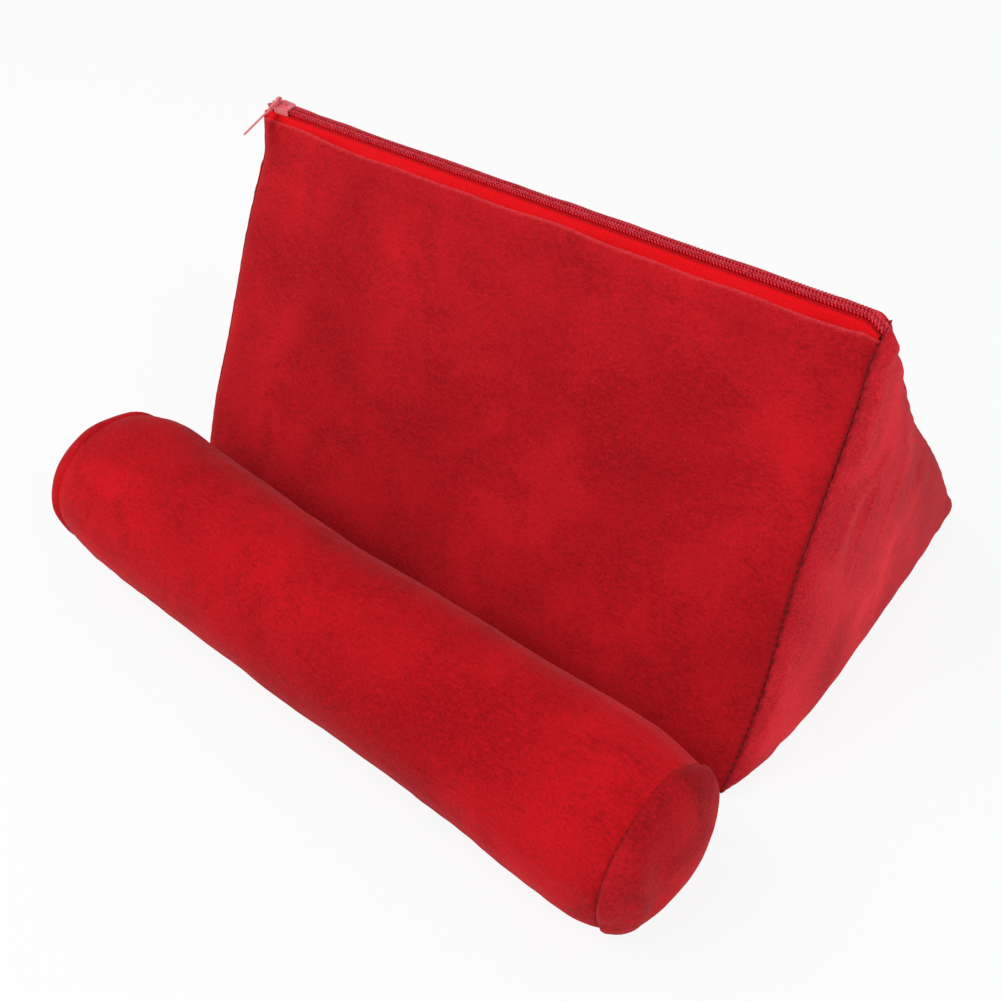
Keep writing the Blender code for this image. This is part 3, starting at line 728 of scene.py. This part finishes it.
def base_panel(up, along):
    """The flat underside of the cover."""
    half = HALF_WIDTH - SEAM_DEPTH
    x = -half + 2 * half * along[None, :]
    front = FRONT_FOOT[0] + mitre(FRONT.corner)
    back = BACK_FOOT[0] - mitre(BACK.corner)
    y = front + (back - front) * up[:, None]
    x, y = np.broadcast_arrays(x, y)
    points = np.stack((x, y, 0.0 * x), axis=-1)
    gaps = ((x + half, y), (half - x, y), (y - front, x), (back - y, x))
    gaps = tuple((distance, way, HIDDEN_SEAM_SHADE) for distance, way in gaps)
    extra = 0.12 * MM * (lumps(points, 0.03, 23.0) - 1)
    return points, np.array((0.0, 0.0, -1.0)), gaps, extra, 0 * x


base_cover = dress(
    "base_cover", "base_panel", base_panel, (8, 8), (places(0.202, 3.0 * MM), places(WIDE, 3.0 * MM)),
    {"pressure": 0.0, "slack": 0.0, "cap": 0.1 * MM}, fill=0.9)


def crown(y, z):
    """The swell of the cushion's ends over the section."""
    def rise(distance, over):
        return np.sin(math.pi / 2 * np.clip(distance / over, 0, 1))
    edges = rise(FRONT.depth(y, z), CROWN_RISE_EDGE) * rise(BACK.depth(y, z), CROWN_RISE_EDGE)
    return SIDE_CROWN * rise(z, CROWN_RISE_LOW) * edges * (1 - 0.5 * low_share(z))


def end_panel(side, level, seed):
    """The triangular end of the cover, with folds that run down along the front seam."""
    depth = SEAM_DEPTH
    top = ZIP_MIDDLE + ZIP_UP * level
    floor = np.array((0.0, depth))
    corners = {}
    for key, slope in (("front", FRONT), ("back", BACK)):
        line = slope.foot - slope.out * depth
        corners[key] = (line_crossing(line, slope.up, floor, np.array((1.0, 0.0))),
                        line_crossing(line, slope.up, top, ZIP_ALONG))

    def panel(up, along):
        share = up[:, None, None]
        near = corners["front"][0] + (corners["front"][1] - corners["front"][0]) * share
        far = corners["back"][0] + (corners["back"][1] - corners["back"][0]) * share
        flat = near + (far - near) * along[None, :, None]
        y, z = flat[..., 0], flat[..., 1]
        in_front, in_back = FRONT.depth(y, z) - depth, BACK.depth(y, z) - depth
        below = -((y - top[0]) * ZIP_UP[0] + (z - top[1]) * ZIP_UP[1])
        points = np.stack((side * HALF_WIDTH + 0 * y, y, z), axis=-1)
        # Painted shade along the seams: full at the right-hand front seam, weaker where the pile hides a
        # seam.
        front_shade = 1.0 if side > 0 else HIDDEN_SEAM_SHADE
        gaps = ((in_front, FRONT.along(y, z), front_shade), (in_back, BACK.along(y, z), HIDDEN_SEAM_SHADE),
                (z - depth, y, HIDDEN_SEAM_SHADE), (below, y, 0.6))
        gaps = tuple((np.maximum(distance, 0), way, dark) for distance, way, dark in gaps)
        lean = np.stack((in_front + 0.004 * lumps(points, 0.03, seed + 2), FRONT.along(y, z), 0 * y), axis=-1)
        upper = smooth((z - 0.045) / 0.055) * smooth(in_front / 0.005) * smooth(in_back / 0.022)
        crease = np.exp(-(lumps(lean, (0.0085, 0.036, 1.0), seed + 9) / 0.16) ** 2)
        folds = (1.0 * MM * crease + 1.0 * MM * lumps(lean, (0.0105, 0.060, 1.0), seed + 12)) * upper
        lower = smooth((0.075 - z) / 0.04) * smooth(z / 0.01)
        folds = folds + 0.5 * MM * lower * lumps(points * np.array((1.0, 1.0, 0.35)), 0.016, seed + 4)
        shoulder = 2.0 * MM * (side > 0) * np.exp(-((below - 0.006) / 0.006) ** 2) * smooth(below / 0.002)
        shoulder = shoulder * smooth(in_front / 0.004) * smooth(in_back / 0.004)
        extra = crown(y, z) + folds + shoulder + undulation(points, seed, 0.5 * MM)
        # The last value is a painted highlight on the crests of the folds.
        return points, np.array((side, 0.0, 0.0)), gaps, extra, 0.55 * crease * upper
    return panel


END_COLUMNS = places(0.200, 1.9 * MM)
END_SIM = {"pressure": 3.0, "slack": 0.01, "cap": 1.8 * MM}
dress(
    "left_side_cover", "left_side_panel", end_panel(-1.0, LEFT_TOP_LEVEL, 31.0), (34, 30),
    (places(0.160, 1.9 * MM), END_COLUMNS), END_SIM, material=LIT_SIDE_PLUSH)
dress(
    "right_side_cover", "right_side_panel", end_panel(1.0, RIGHT_TOP_LEVEL, 41.0), (34, 30),
    (places(0.163, 1.9 * MM), END_COLUMNS), END_SIM, material=LIT_SIDE_PLUSH)


# The roll

ROLL_AXIS = np.array((math.cos(ROLL_YAW), math.sin(ROLL_YAW), 0.0))
ROLL_FRONT = np.array((math.sin(ROLL_YAW), -math.cos(ROLL_YAW), 0.0))
UP = np.array((0.0, 0.0, 1.0))


def roll_way(turn):
    """The way out from the roll's axis, for a turn that starts in front and goes over the top."""
    return np.cos(turn)[..., None] * ROLL_FRONT + np.sin(turn)[..., None] * UP


def roll_shape(points):
    """The roll's lumps, its swellings and hollows, and the flat where it lies."""
    from_middle = points - ROLL_MIDDLE
    along = from_middle @ ROLL_AXIS
    ray = from_middle - along[..., None] * ROLL_AXIS
    away = np.linalg.norm(ray, axis=-1, keepdims=True)
    way = ray / np.maximum(away, 1e-6)
    rise = 0.45 * MM * lumps(points, (0.045, 0.05, 0.05), 51.0) + 0.35 * MM * lumps(points, 0.016, 57.0)
    for forwards, upwards, height, spot, reach in ROLL_SWELLINGS:
        facing = np.clip(way @ (forwards * ROLL_FRONT + upwards * UP), 0, 1) ** 2
        rise = rise + height * MM * facing * np.exp(-((along - spot) / reach) ** 2)
    fuller = np.clip(away[..., 0] / ROLL_RADIUS, 0, 1) ** 2
    moved = points + way * (rise * fuller)[..., None]
    low = 0.0006
    squeeze = 0.0016
    under = (moved[..., 2] - low) / squeeze
    flattened = low + squeeze * np.log1p(np.exp(np.minimum(under, 30))) * 0.9
    moved[..., 2] = np.where(under < 4, flattened, moved[..., 2])
    return moved


def ring_depth(turn):
    """How deep the roll's right-hand end seam lies: the pile nearly hides it on top."""
    from_top = (turn - math.radians(100) + math.pi) % (2 * math.pi) - math.pi
    return SEAM_DEPTH * (RING_SHARE - 0.55 * np.exp(-(from_top / 0.95) ** 2))


def ring_shade(turn):
    """How strong the painted shade along the roll's right-hand end seam is."""
    return 0.9 * ring_depth(turn) / (RING_SHARE * SEAM_DEPTH)


def tube_panel(up, along):
    """The roll's tube, gathered where its ends are sewn in."""
    end = ROLL_HALF - RING_GAP
    s = -end + 2 * end * up[:, None]
    s, turn = np.broadcast_arrays(s, 2 * math.pi * along[None, :])
    outward = roll_way(turn)
    points = ROLL_MIDDLE + s[..., None] * ROLL_AXIS + ROLL_RADIUS * outward
    around = ROLL_RADIUS * turn
    gaps = ((s + end + LEFT_RING_HIDDEN, around, 0.0), (end - s, around, ring_shade(turn)))
    from_end = end - np.abs(s)
    gathers = np.sin(7 * turn + 2.0 * np.sin(3 * turn)) * np.exp(-from_end / 0.012) * smooth(from_end / 0.003)
    gathers = gathers * np.where(s < 0, 0.3, 1.0)
    pinch = -np.where(s < 0, LEFT_END_PINCH, ROLL_END_PINCH) * np.exp(-(from_end / 0.010) ** 1.5)
    shallower = (SEAM_DEPTH - ring_depth(turn)) * np.where(s < 0, 0.0, 1.0)
    shallower = shallower * (1 - np.sqrt(1 - np.clip(1 - from_end / SEAM_REACH, 0, 1) ** 2))
    extra = 0.35 * MM * gathers + pinch + shallower + 0.10 * MM * lumps(points, 0.008, 61.0)
    return points, outward, gaps, extra, 0 * from_end


ROUND = np.arange(132) / 132
roll_cover = dress(
    "roll_plush_cover", "roll_cover", tube_panel, (60, 44), (places(2 * ROLL_HALF, 1.6 * MM), ROUND),
    {"pressure": 3.0, "slack": 0.0, "cap": 0.6 * MM}, material=ROLL_PLUSH, wrap=True,
    bend=roll_shape, fill=0.85)


def disc(name, node, side, dome, seed, material):
    """A round end of the roll, swollen; the right-hand one has a soft fold across it."""
    rim = ROLL_RADIUS - (ROLL_END_PINCH if side > 0 else LEFT_END_PINCH)
    turn = 2 * math.pi * ROUND[None, :]
    shares = np.concatenate((EDGE_PLACES[:-1] / 0.032, np.linspace(EDGE_PLACES[-1] / 0.032, 1, 18)[:-1]))

    def surface(share, way):
        angle = math.pi / 2 * share
        radius = rim * np.cos(angle)
        height = dome * np.sin(angle)
        points = ROLL_MIDDLE + radius[..., None] * way + side * (ROLL_HALF + height)[..., None] * ROLL_AXIS
        normal = np.cos(angle)[..., None] * dome * way
        normal = normal + side * (np.sin(angle) * rim)[..., None] * ROLL_AXIS
        return points, normal / np.linalg.norm(normal, axis=-1, keepdims=True)

    coarse_share = np.linspace(0, 0.96, 14)[:, None]
    coarse_turn = 2 * math.pi * (np.arange(44) / 44)[None, :]
    points, normal = surface(coarse_share + 0 * coarse_turn, roll_way(coarse_turn))
    pinned = np.zeros(points.shape[:2], bool)
    pinned[0] = True
    risen = swell(points, normal, pinned, True, pressure=3.0, slack=0.02, cap=1.0 * MM)
    risen = cubic_weights(np.clip(shares / 0.96, 0, 1), 14, False) @ risen @ cubic_weights(ROUND, 44, True).T
    share = shares[:, None] + 0 * turn
    points, normal = surface(share, roll_way(turn))
    distance = share * math.pi / 2 * 0.021
    sideways = (points - ROLL_MIDDLE) @ ROLL_FRONT
    tall = (points - ROLL_MIDDLE) @ UP
    crest = (sideways - 0.0205 - 0.10 * tall) / 0.0038
    trough = (sideways - 0.0115 - 0.05 * tall) / 0.0044
    folds = 1.4 * MM * np.exp(-crest ** 2) - 1.6 * MM * np.exp(-trough ** 2)
    folds = folds * smooth(distance / 0.005) * smooth((0.024 - np.abs(tall)) / 0.014)
    gathers = 0.5 * MM * np.sin(9 * turn + 1.5 * np.sin(4 * turn + seed)) * np.exp(-distance / 0.007)
    around = ROLL_RADIUS * turn + 0 * distance
    if side > 0:
        gaps = ((distance, around, ring_shade(turn)),)
        rise = risen + sewn(gaps, ring_depth(turn)) + folds + gathers * smooth(distance / 0.003)
    else:
        gaps = ((distance + LEFT_RING_HIDDEN, around, 0.0),)
        rise = risen + sewn(gaps) + 0.3 * gathers * smooth(distance / 0.003)
    rise = rise + 0.5 * MM * lumps(points, 0.011, seed) * smooth(distance / 0.003)
    points = points + normal * rise[..., None]
    pole = points[-1].mean(axis=0)
    mesh = mesh_from_grid(name, roll_shape(points), normal, True, pole)
    cover_piece(name, node, mesh, material, 0.8, seam_shade=seam_shade(gaps))


disc("roll_left_disc", "roll_left_end", -1.0, LEFT_END_DOME, 71.0, ROLL_PLUSH)
disc("roll_right_disc", "roll_right_end", 1.0, RIGHT_END_DOME, 83.0, DISC_PLUSH)


# Fillings

def filling(name, node, bend, shrink):
    """The foam inside: the solid's own shape, a little smaller and bent with its cover."""
    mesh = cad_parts[node].data.copy()
    mesh.materials.clear()
    mesh.materials.append(FOAM)
    points = np.zeros(len(mesh.vertices) * 3)
    mesh.vertices.foreach_get("co", points)
    points = points.reshape(-1, 3)
    middle = (points.min(axis=0) + points.max(axis=0)) / 2
    size = points.max(axis=0) - points.min(axis=0)
    points = middle + (points - middle) * (1 - 2 * shrink / size)
    mesh.vertices.foreach_set("co", bend(points).reshape(-1))
    item = add_object(name, mesh)
    stand_in(item, node)
    return item


wedge_filling = filling("wedge_filling", "wedge_foam", warp, 3.0 * MM)
filling("roll_filling", "roll_foam", lambda points: points, 1.5 * MM)


# Zip

def drop_end(points):
    """Bends the zip with its cover, with its right-hand end down into the seam and towards the front."""
    moved = warp(points)
    moved[..., 1] -= 0.35 * ridge_drop(points[..., 0])
    return moved


def tape(name, node, slope, side, seed):
    """Half of the tape: flat under the coil, round the edge and down under the panel."""
    columns = np.linspace(-TAPE_HALF_LENGTH, TAPE_HALF_LENGTH, 180)
    edge = in_zip(0.0, side * ZIP_HALF_FLAT, 0.0)[1:]
    edge_along = slope.along(edge[0], edge[1])
    low = edge_along - TAPE_SHOWN - TAPE_TUCK
    flat_part = [in_zip(0.0, side * across, TAPE)[1:]
                 for across in np.linspace(0.0008, ZIP_HALF_FLAT - 0.0004, 6)]
    face_part = [slope.foot + slope.up * way - slope.out * (CLOTH + 0.3 * MM - TAPE)
                 for way in np.linspace(edge_along - 0.0004, low, 16)]
    first, last = flat_part[-1], face_part[0]
    bend_point = line_crossing(first, ZIP_ALONG, last, slope.up)
    rounded = [(1 - t) ** 2 * first + 2 * t * (1 - t) * bend_point + t * t * last
               for t in (0.2, 0.4, 0.6, 0.8)]
    section = np.array(flat_part + rounded + face_part)
    rows, flat_rows = len(section), len(flat_part)
    face_row = flat_rows + len(rounded)
    points = np.zeros((rows, len(columns), 3))
    points[..., 0] = columns
    points[..., 1:] = section[:, None, :]
    outward = np.zeros_like(points)
    outward[:flat_rows] = np.array((0.0, ZIP_UP[0], ZIP_UP[1]))
    outward[face_row:] = slope.out3
    mid = outward[0, 0] + slope.out3
    outward[flat_rows:face_row] = mid / np.linalg.norm(mid)
    down = np.linspace(0, 1, rows)[:, None]
    free = smooth((down - 0.35) / 0.2) * smooth((1.05 - down) / 0.35)
    wave = 0.25 * MM * np.sin(columns / 0.012 + seed)[None, :] + 0.3 * MM * lumps(points, 0.02, seed)
    at_seam = np.clip(1 - (HALF_WIDTH - SEAM_DEPTH - np.abs(columns)) / (SEAM_REACH + 1.0 * MM), 0, 1)
    sunk = 1.6 * SEAM_DEPTH * at_seam ** 2 * smooth((down - 0.3) / 0.15)
    points = points + outward * (free * (wave + 0.15 * MM) - sunk)[..., None]
    item = add_object(name, mesh_from_grid(name, drop_end(points), outward))
    solid_sheet(item, TAPE)
    item.data.materials.append(TAPE_CLOTH)
    stand_in(item, node)


tape("front_tape", "zip_tape_front", FRONT, -1.0, 0.4)
tape("back_tape", "zip_tape_back", BACK, 1.0, 2.4)


def tube_along(points, radius, sides):
    """Vertices and faces of a tube round a polyline, with its ends closed."""
    points = np.asarray(points)
    ahead = np.gradient(points, axis=0)
    ahead /= np.linalg.norm(ahead, axis=1, keepdims=True)
    guide = np.where(np.abs(ahead[:, :1]) > 0.9, np.array((0.0, 1.0, 0.0)), np.array((1.0, 0.0, 0.0)))
    first = np.cross(ahead, guide)
    first /= np.linalg.norm(first, axis=1, keepdims=True)
    second = np.cross(ahead, first)
    turns = (2 * math.pi * np.arange(sides) / sides)[None, :, None]
    radii = np.broadcast_to(np.asarray(radius), (len(points),))
    ring = first[:, None, :] * np.cos(turns) + second[:, None, :] * np.sin(turns)
    vertices = points[:, None, :] + ring * radii[:, None, None]
    faces = grid_faces(len(points), sides, True).tolist()
    last = (len(points) - 1) * sides
    faces.append(list(range(sides)))
    faces.append([last + i for i in reversed(range(sides))])
    return vertices.reshape(-1, 3), faces


def tubes_object(name, tubes, material):
    """Joins tubes into one piece that rides with the cushion."""
    vertices, faces, count = [], [], 0
    for tube_vertices, tube_faces in tubes:
        vertices.append(tube_vertices)
        faces += [[index + count for index in face] for face in tube_faces]
        count += len(tube_vertices)
    mesh = smooth_mesh(name, np.concatenate(vertices).tolist(), faces)
    item = add_object(name, mesh)
    mesh.materials.append(material)
    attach(item, "cushion")
    return item


def coil(name, node, side):
    """Half of the coil: one long flattened spiral whose loops reach a little past the middle."""
    per_turn = 12
    step = np.arange(COIL_TURNS * per_turn + 1)
    angle = 2 * math.pi * step / per_turn
    x = COIL_START + COIL_PITCH * (step / per_turn + (0.5 if side > 0 else 0.0))
    radius = 0.33 * MM
    across = side * (0.86 * MM - 1.16 * MM * np.cos(angle))
    height = COIL_FLOOR + COIL_HEIGHT / 2 + (COIL_HEIGHT / 2 - radius) * np.sin(angle)
    spine = drop_end(in_zip(x, across, height))
    item = tubes_object(name, [tube_along(spine, radius, 6)], COIL_NYLON)
    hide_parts(node)


coil("front_coil", "zip_coil_front", -1.0)
coil("back_coil", "zip_coil_back", 1.0)


def chain_rows():
    """The rows of chain stitch that hold the coil to its tape."""
    tubes = []
    for side in (-1.0, 1.0):
        for row in (0.72 * MM, 1.58 * MM):
            step = np.arange(COIL_TURNS * 4 + 1)
            x = COIL_START + step * COIL_PITCH / 4
            across = side * (row + 0.34 * MM * np.sin(math.pi * step / 2))
            height = COIL_FLOOR + COIL_HEIGHT + 0.02 * MM + 0.10 * MM * np.cos(math.pi * step / 2)
            tubes.append(tube_along(drop_end(in_zip(x, across, height)), 0.21 * MM, 5))
    return tubes


def zip_lines(offset, height, radius, sides):
    """One straight thread or cord along each side of the zip's middle."""
    x = np.linspace(COIL_START, COIL_END, 160)
    return [tube_along(drop_end(in_zip(x, side * offset, height)), radius, sides) for side in (-1.0, 1.0)]


FILLER_CORDS = zip_lines(1.05 * MM, COIL_FLOOR + COIL_HEIGHT / 2, 0.46 * MM, 10)
# The dark lines beside the coil are partly the tape's sewn line and partly painted shade where the coil
# shades the tape.
EDGE_THREADS_AND_SHADE = zip_lines(2.55 * MM, TAPE + 0.06 * MM, 0.17 * MM, 6)
tubes_object("coil_stitching", chain_rows(), COIL_THREAD)
tubes_object("coil_cords", FILLER_CORDS, COIL_CORD)
tubes_object("tape_threads_and_shade", EDGE_THREADS_AND_SHADE, TAPE_THREAD_AND_SHADE)


# Seams

def stitches(line, shown=None):
    """Short threads end to end along a polyline, one for each stitch; none where shown is 0."""
    line = np.asarray(line)
    steps = np.linalg.norm(np.diff(line, axis=0), axis=1)
    reached = np.concatenate(((0.0,), np.cumsum(steps)))
    tubes = []
    for index in range(int(reached[-1] / STITCH)):
        start = (index + 0.5) * STITCH - THREAD_SHOWN / 2
        if shown is not None and not np.interp(start, reached, shown) > 0.99:
            continue
        spots = start + np.linspace(0, THREAD_SHOWN, 5)
        points = np.stack([np.interp(spots, reached, line[:, axis]) for axis in range(3)], axis=-1)
        tubes.append(tube_along(points, THREAD_RADIUS * np.array((0.45, 0.9, 1.0, 0.9, 0.45)), 6))
    return tubes


def slope_seam(slope, side, straight, inset):
    """The seam between a sloping panel and an end, from the foot up."""
    way = np.linspace(mitre(slope.corner) + 2.0 * MM, straight - 3.0 * MM, 60)
    x = side * (HALF_WIDTH - inset) + 0 * way
    return warp(slope.point(x, way, -inset + 0 * way))


def foot_seam(slope):
    """The seam between a sloping panel and the underside."""
    x = np.linspace(-HALF_WIDTH + 2 * MM, HALF_WIDTH - 2 * MM, 60)
    return warp(slope.point(x, mitre(slope.corner, SEAM_INSET) + 0 * x, -SEAM_INSET + 0 * x))


def end_seam(side):
    """The seam between an end and the underside."""
    y = np.linspace(FRONT_FOOT[0] + 2.5 * MM, BACK_FOOT[0] - 3 * MM, 60)
    return warp(np.stack((side * (HALF_WIDTH - SEAM_INSET) + 0 * y, y, SEAM_INSET + 0 * y), axis=-1))


def ring_seam(turn):
    """The seam round the roll's right-hand end."""
    radius = ROLL_RADIUS - ROLL_END_PINCH - ring_depth(turn) - 0.1 * MM
    return roll_shape(ROLL_MIDDLE + radius[:, None] * roll_way(turn) + ROLL_HALF * ROLL_AXIS)


wedge_stitches = []
for side, front_inset in ((-1.0, LEFT_SEAM_INSET), (1.0, SEAM_INSET)):
    wedge_stitches += stitches(slope_seam(FRONT, side, FRONT_TOP, front_inset))
    wedge_stitches += stitches(slope_seam(BACK, side, BACK_TOP, SEAM_INSET))
    wedge_stitches += stitches(end_seam(side))
for slope in (FRONT, BACK):
    wedge_stitches += stitches(foot_seam(slope))
tubes_object("wedge_stitches", wedge_stitches, SEAM_THREAD_AND_SHADE)
RING_TURN = np.linspace(0, 2 * math.pi, 120)
RING_STITCHED = (ring_depth(RING_TURN) > 0.30 * SEAM_DEPTH).astype(float)
tubes_object("roll_stitches", stitches(ring_seam(RING_TURN), RING_STITCHED), SEAM_THREAD_AND_SHADE)


# Joining strip

def strip():
    """The cloth that ties the roll's underside to the wedge's foot."""
    low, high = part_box("joining_strip")
    x = np.linspace(low[0], high[0], 90)[None, :]
    share = np.linspace(0, 1, 10)[:, None]
    axis_y = ROLL_MIDDLE[1] + x * math.tan(ROLL_YAW)
    far = axis_y + 0.0083
    near = FRONT_FOOT[0] + 1.2 * MM
    y = near + (far - near) * share
    height = 1.5 * MM + 0.25 * MM * np.sin(x / 0.011 + 3 * share) + 0 * y
    points = np.stack(np.broadcast_arrays(x + 0 * y, y, height), axis=-1)
    outward = np.broadcast_to(np.array((0.0, 0.0, 1.0)), points.shape)
    item = add_object("joining_cloth", mesh_from_grid("joining_cloth", points, outward))
    solid_sheet(item, 1.1 * MM)
    item.data.materials.append(PANEL_PLUSH)
    stand_in(item, "joining_strip")


strip()

for node in ("zip_slider", "zip_pull"):
    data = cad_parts[node].data
    data.materials.clear()
    data.materials.append(SLIDER_PAINT)


# Stage, light and camera

GLOW_SHARE = 0.88
CAMERA_AZIMUTH = math.radians(38.056)
CAMERA_ELEVATION = math.radians(39.564)
CAMERA_LENS = 46.295
CAMERA_TARGET = (0.0326, -0.0954, 0.08)
CAMERA_DISTANCE = 0.4563


def stage_floor():
    """A pale floor that looks white to the camera and keeps the cushion's shadow."""
    mesh = bpy.data.meshes.new("floor")
    corners = [(6.0 * across, 6.0 * ahead, 0.0) for across, ahead in ((-1, -1), (1, -1), (1, 1), (-1, 1))]
    mesh.from_pydata(corners, [], [(0, 1, 2, 3)])
    item = add_object("floor", mesh)
    item.location.z = -0.0004
    material = bpy.data.materials.new("white_floor")
    material.use_nodes = True
    tree = material.node_tree
    tree.nodes.clear()
    paper = add_node(tree, "ShaderNodeBsdfDiffuse", {"Color": (0.88, 0.88, 0.88, 1.0)})
    glow = add_node(tree, "ShaderNodeEmission", {"Color": (1.0, 1.0, 1.0, 1.0), "Strength": 1.0})
    rays = add_node(tree, "ShaderNodeLightPath").outputs
    seen = calculated(tree, "MAXIMUM", rays["Is Camera Ray"], rays["Is Glossy Ray"])
    seen = calculated(tree, "MAXIMUM", seen, rays["Is Transmission Ray"])
    share = calculated(tree, "MULTIPLY", seen, GLOW_SHARE)
    mixed = add_node(tree, "ShaderNodeMixShader", {"Fac": share, 1: paper.outputs[0], 2: glow.outputs[0]})
    add_node(tree, "ShaderNodeOutputMaterial", {"Surface": mixed.outputs[0]})
    mesh.materials.append(material)


def soft_light(name, spot, target, size, power):
    light = bpy.data.lights.new(name, "AREA")
    light.shape = "DISK"
    light.size = size
    light.energy = power
    item = add_object(name, light)
    item.location = spot
    item.rotation_euler = (Vector(target) - Vector(spot)).to_track_quat("-Z", "Y").to_euler()


def world_light(strength):
    world = bpy.data.worlds.new("studio")
    world.use_nodes = True
    background = world.node_tree.nodes["Background"]
    background.inputs["Color"].default_value = (1.0, 1.0, 1.0, 1.0)
    background.inputs["Strength"].default_value = strength
    bpy.context.scene.world = world


def place_camera():
    """The camera at the photo's angle, on its line through the point that it looks at."""
    level, rise = math.cos(CAMERA_ELEVATION), math.sin(CAMERA_ELEVATION)
    back = Vector((math.sin(CAMERA_AZIMUTH) * level, -math.cos(CAMERA_AZIMUTH) * level, rise))
    camera = bpy.data.cameras.new("camera")
    camera.sensor_width = 36.0
    camera.lens = CAMERA_LENS
    camera.clip_start = 0.01
    item = add_object("camera", camera)
    item.location = Vector(CAMERA_TARGET) + back * CAMERA_DISTANCE
    item.rotation_euler = back.to_track_quat("Z", "Y").to_euler()
    bpy.context.scene.camera = item


stage_floor()
world_light(0.55)
soft_light("key", (-0.55, -0.75, 1.15), (0.0, -0.03, 0.05), size=0.9, power=9.0)
soft_light("fill", (1.1, -0.25, 0.75), (0.05, 0.0, 0.05), size=0.8, power=3.5)
place_camera()
bpy.context.scene.view_settings.view_transform = "Standard"
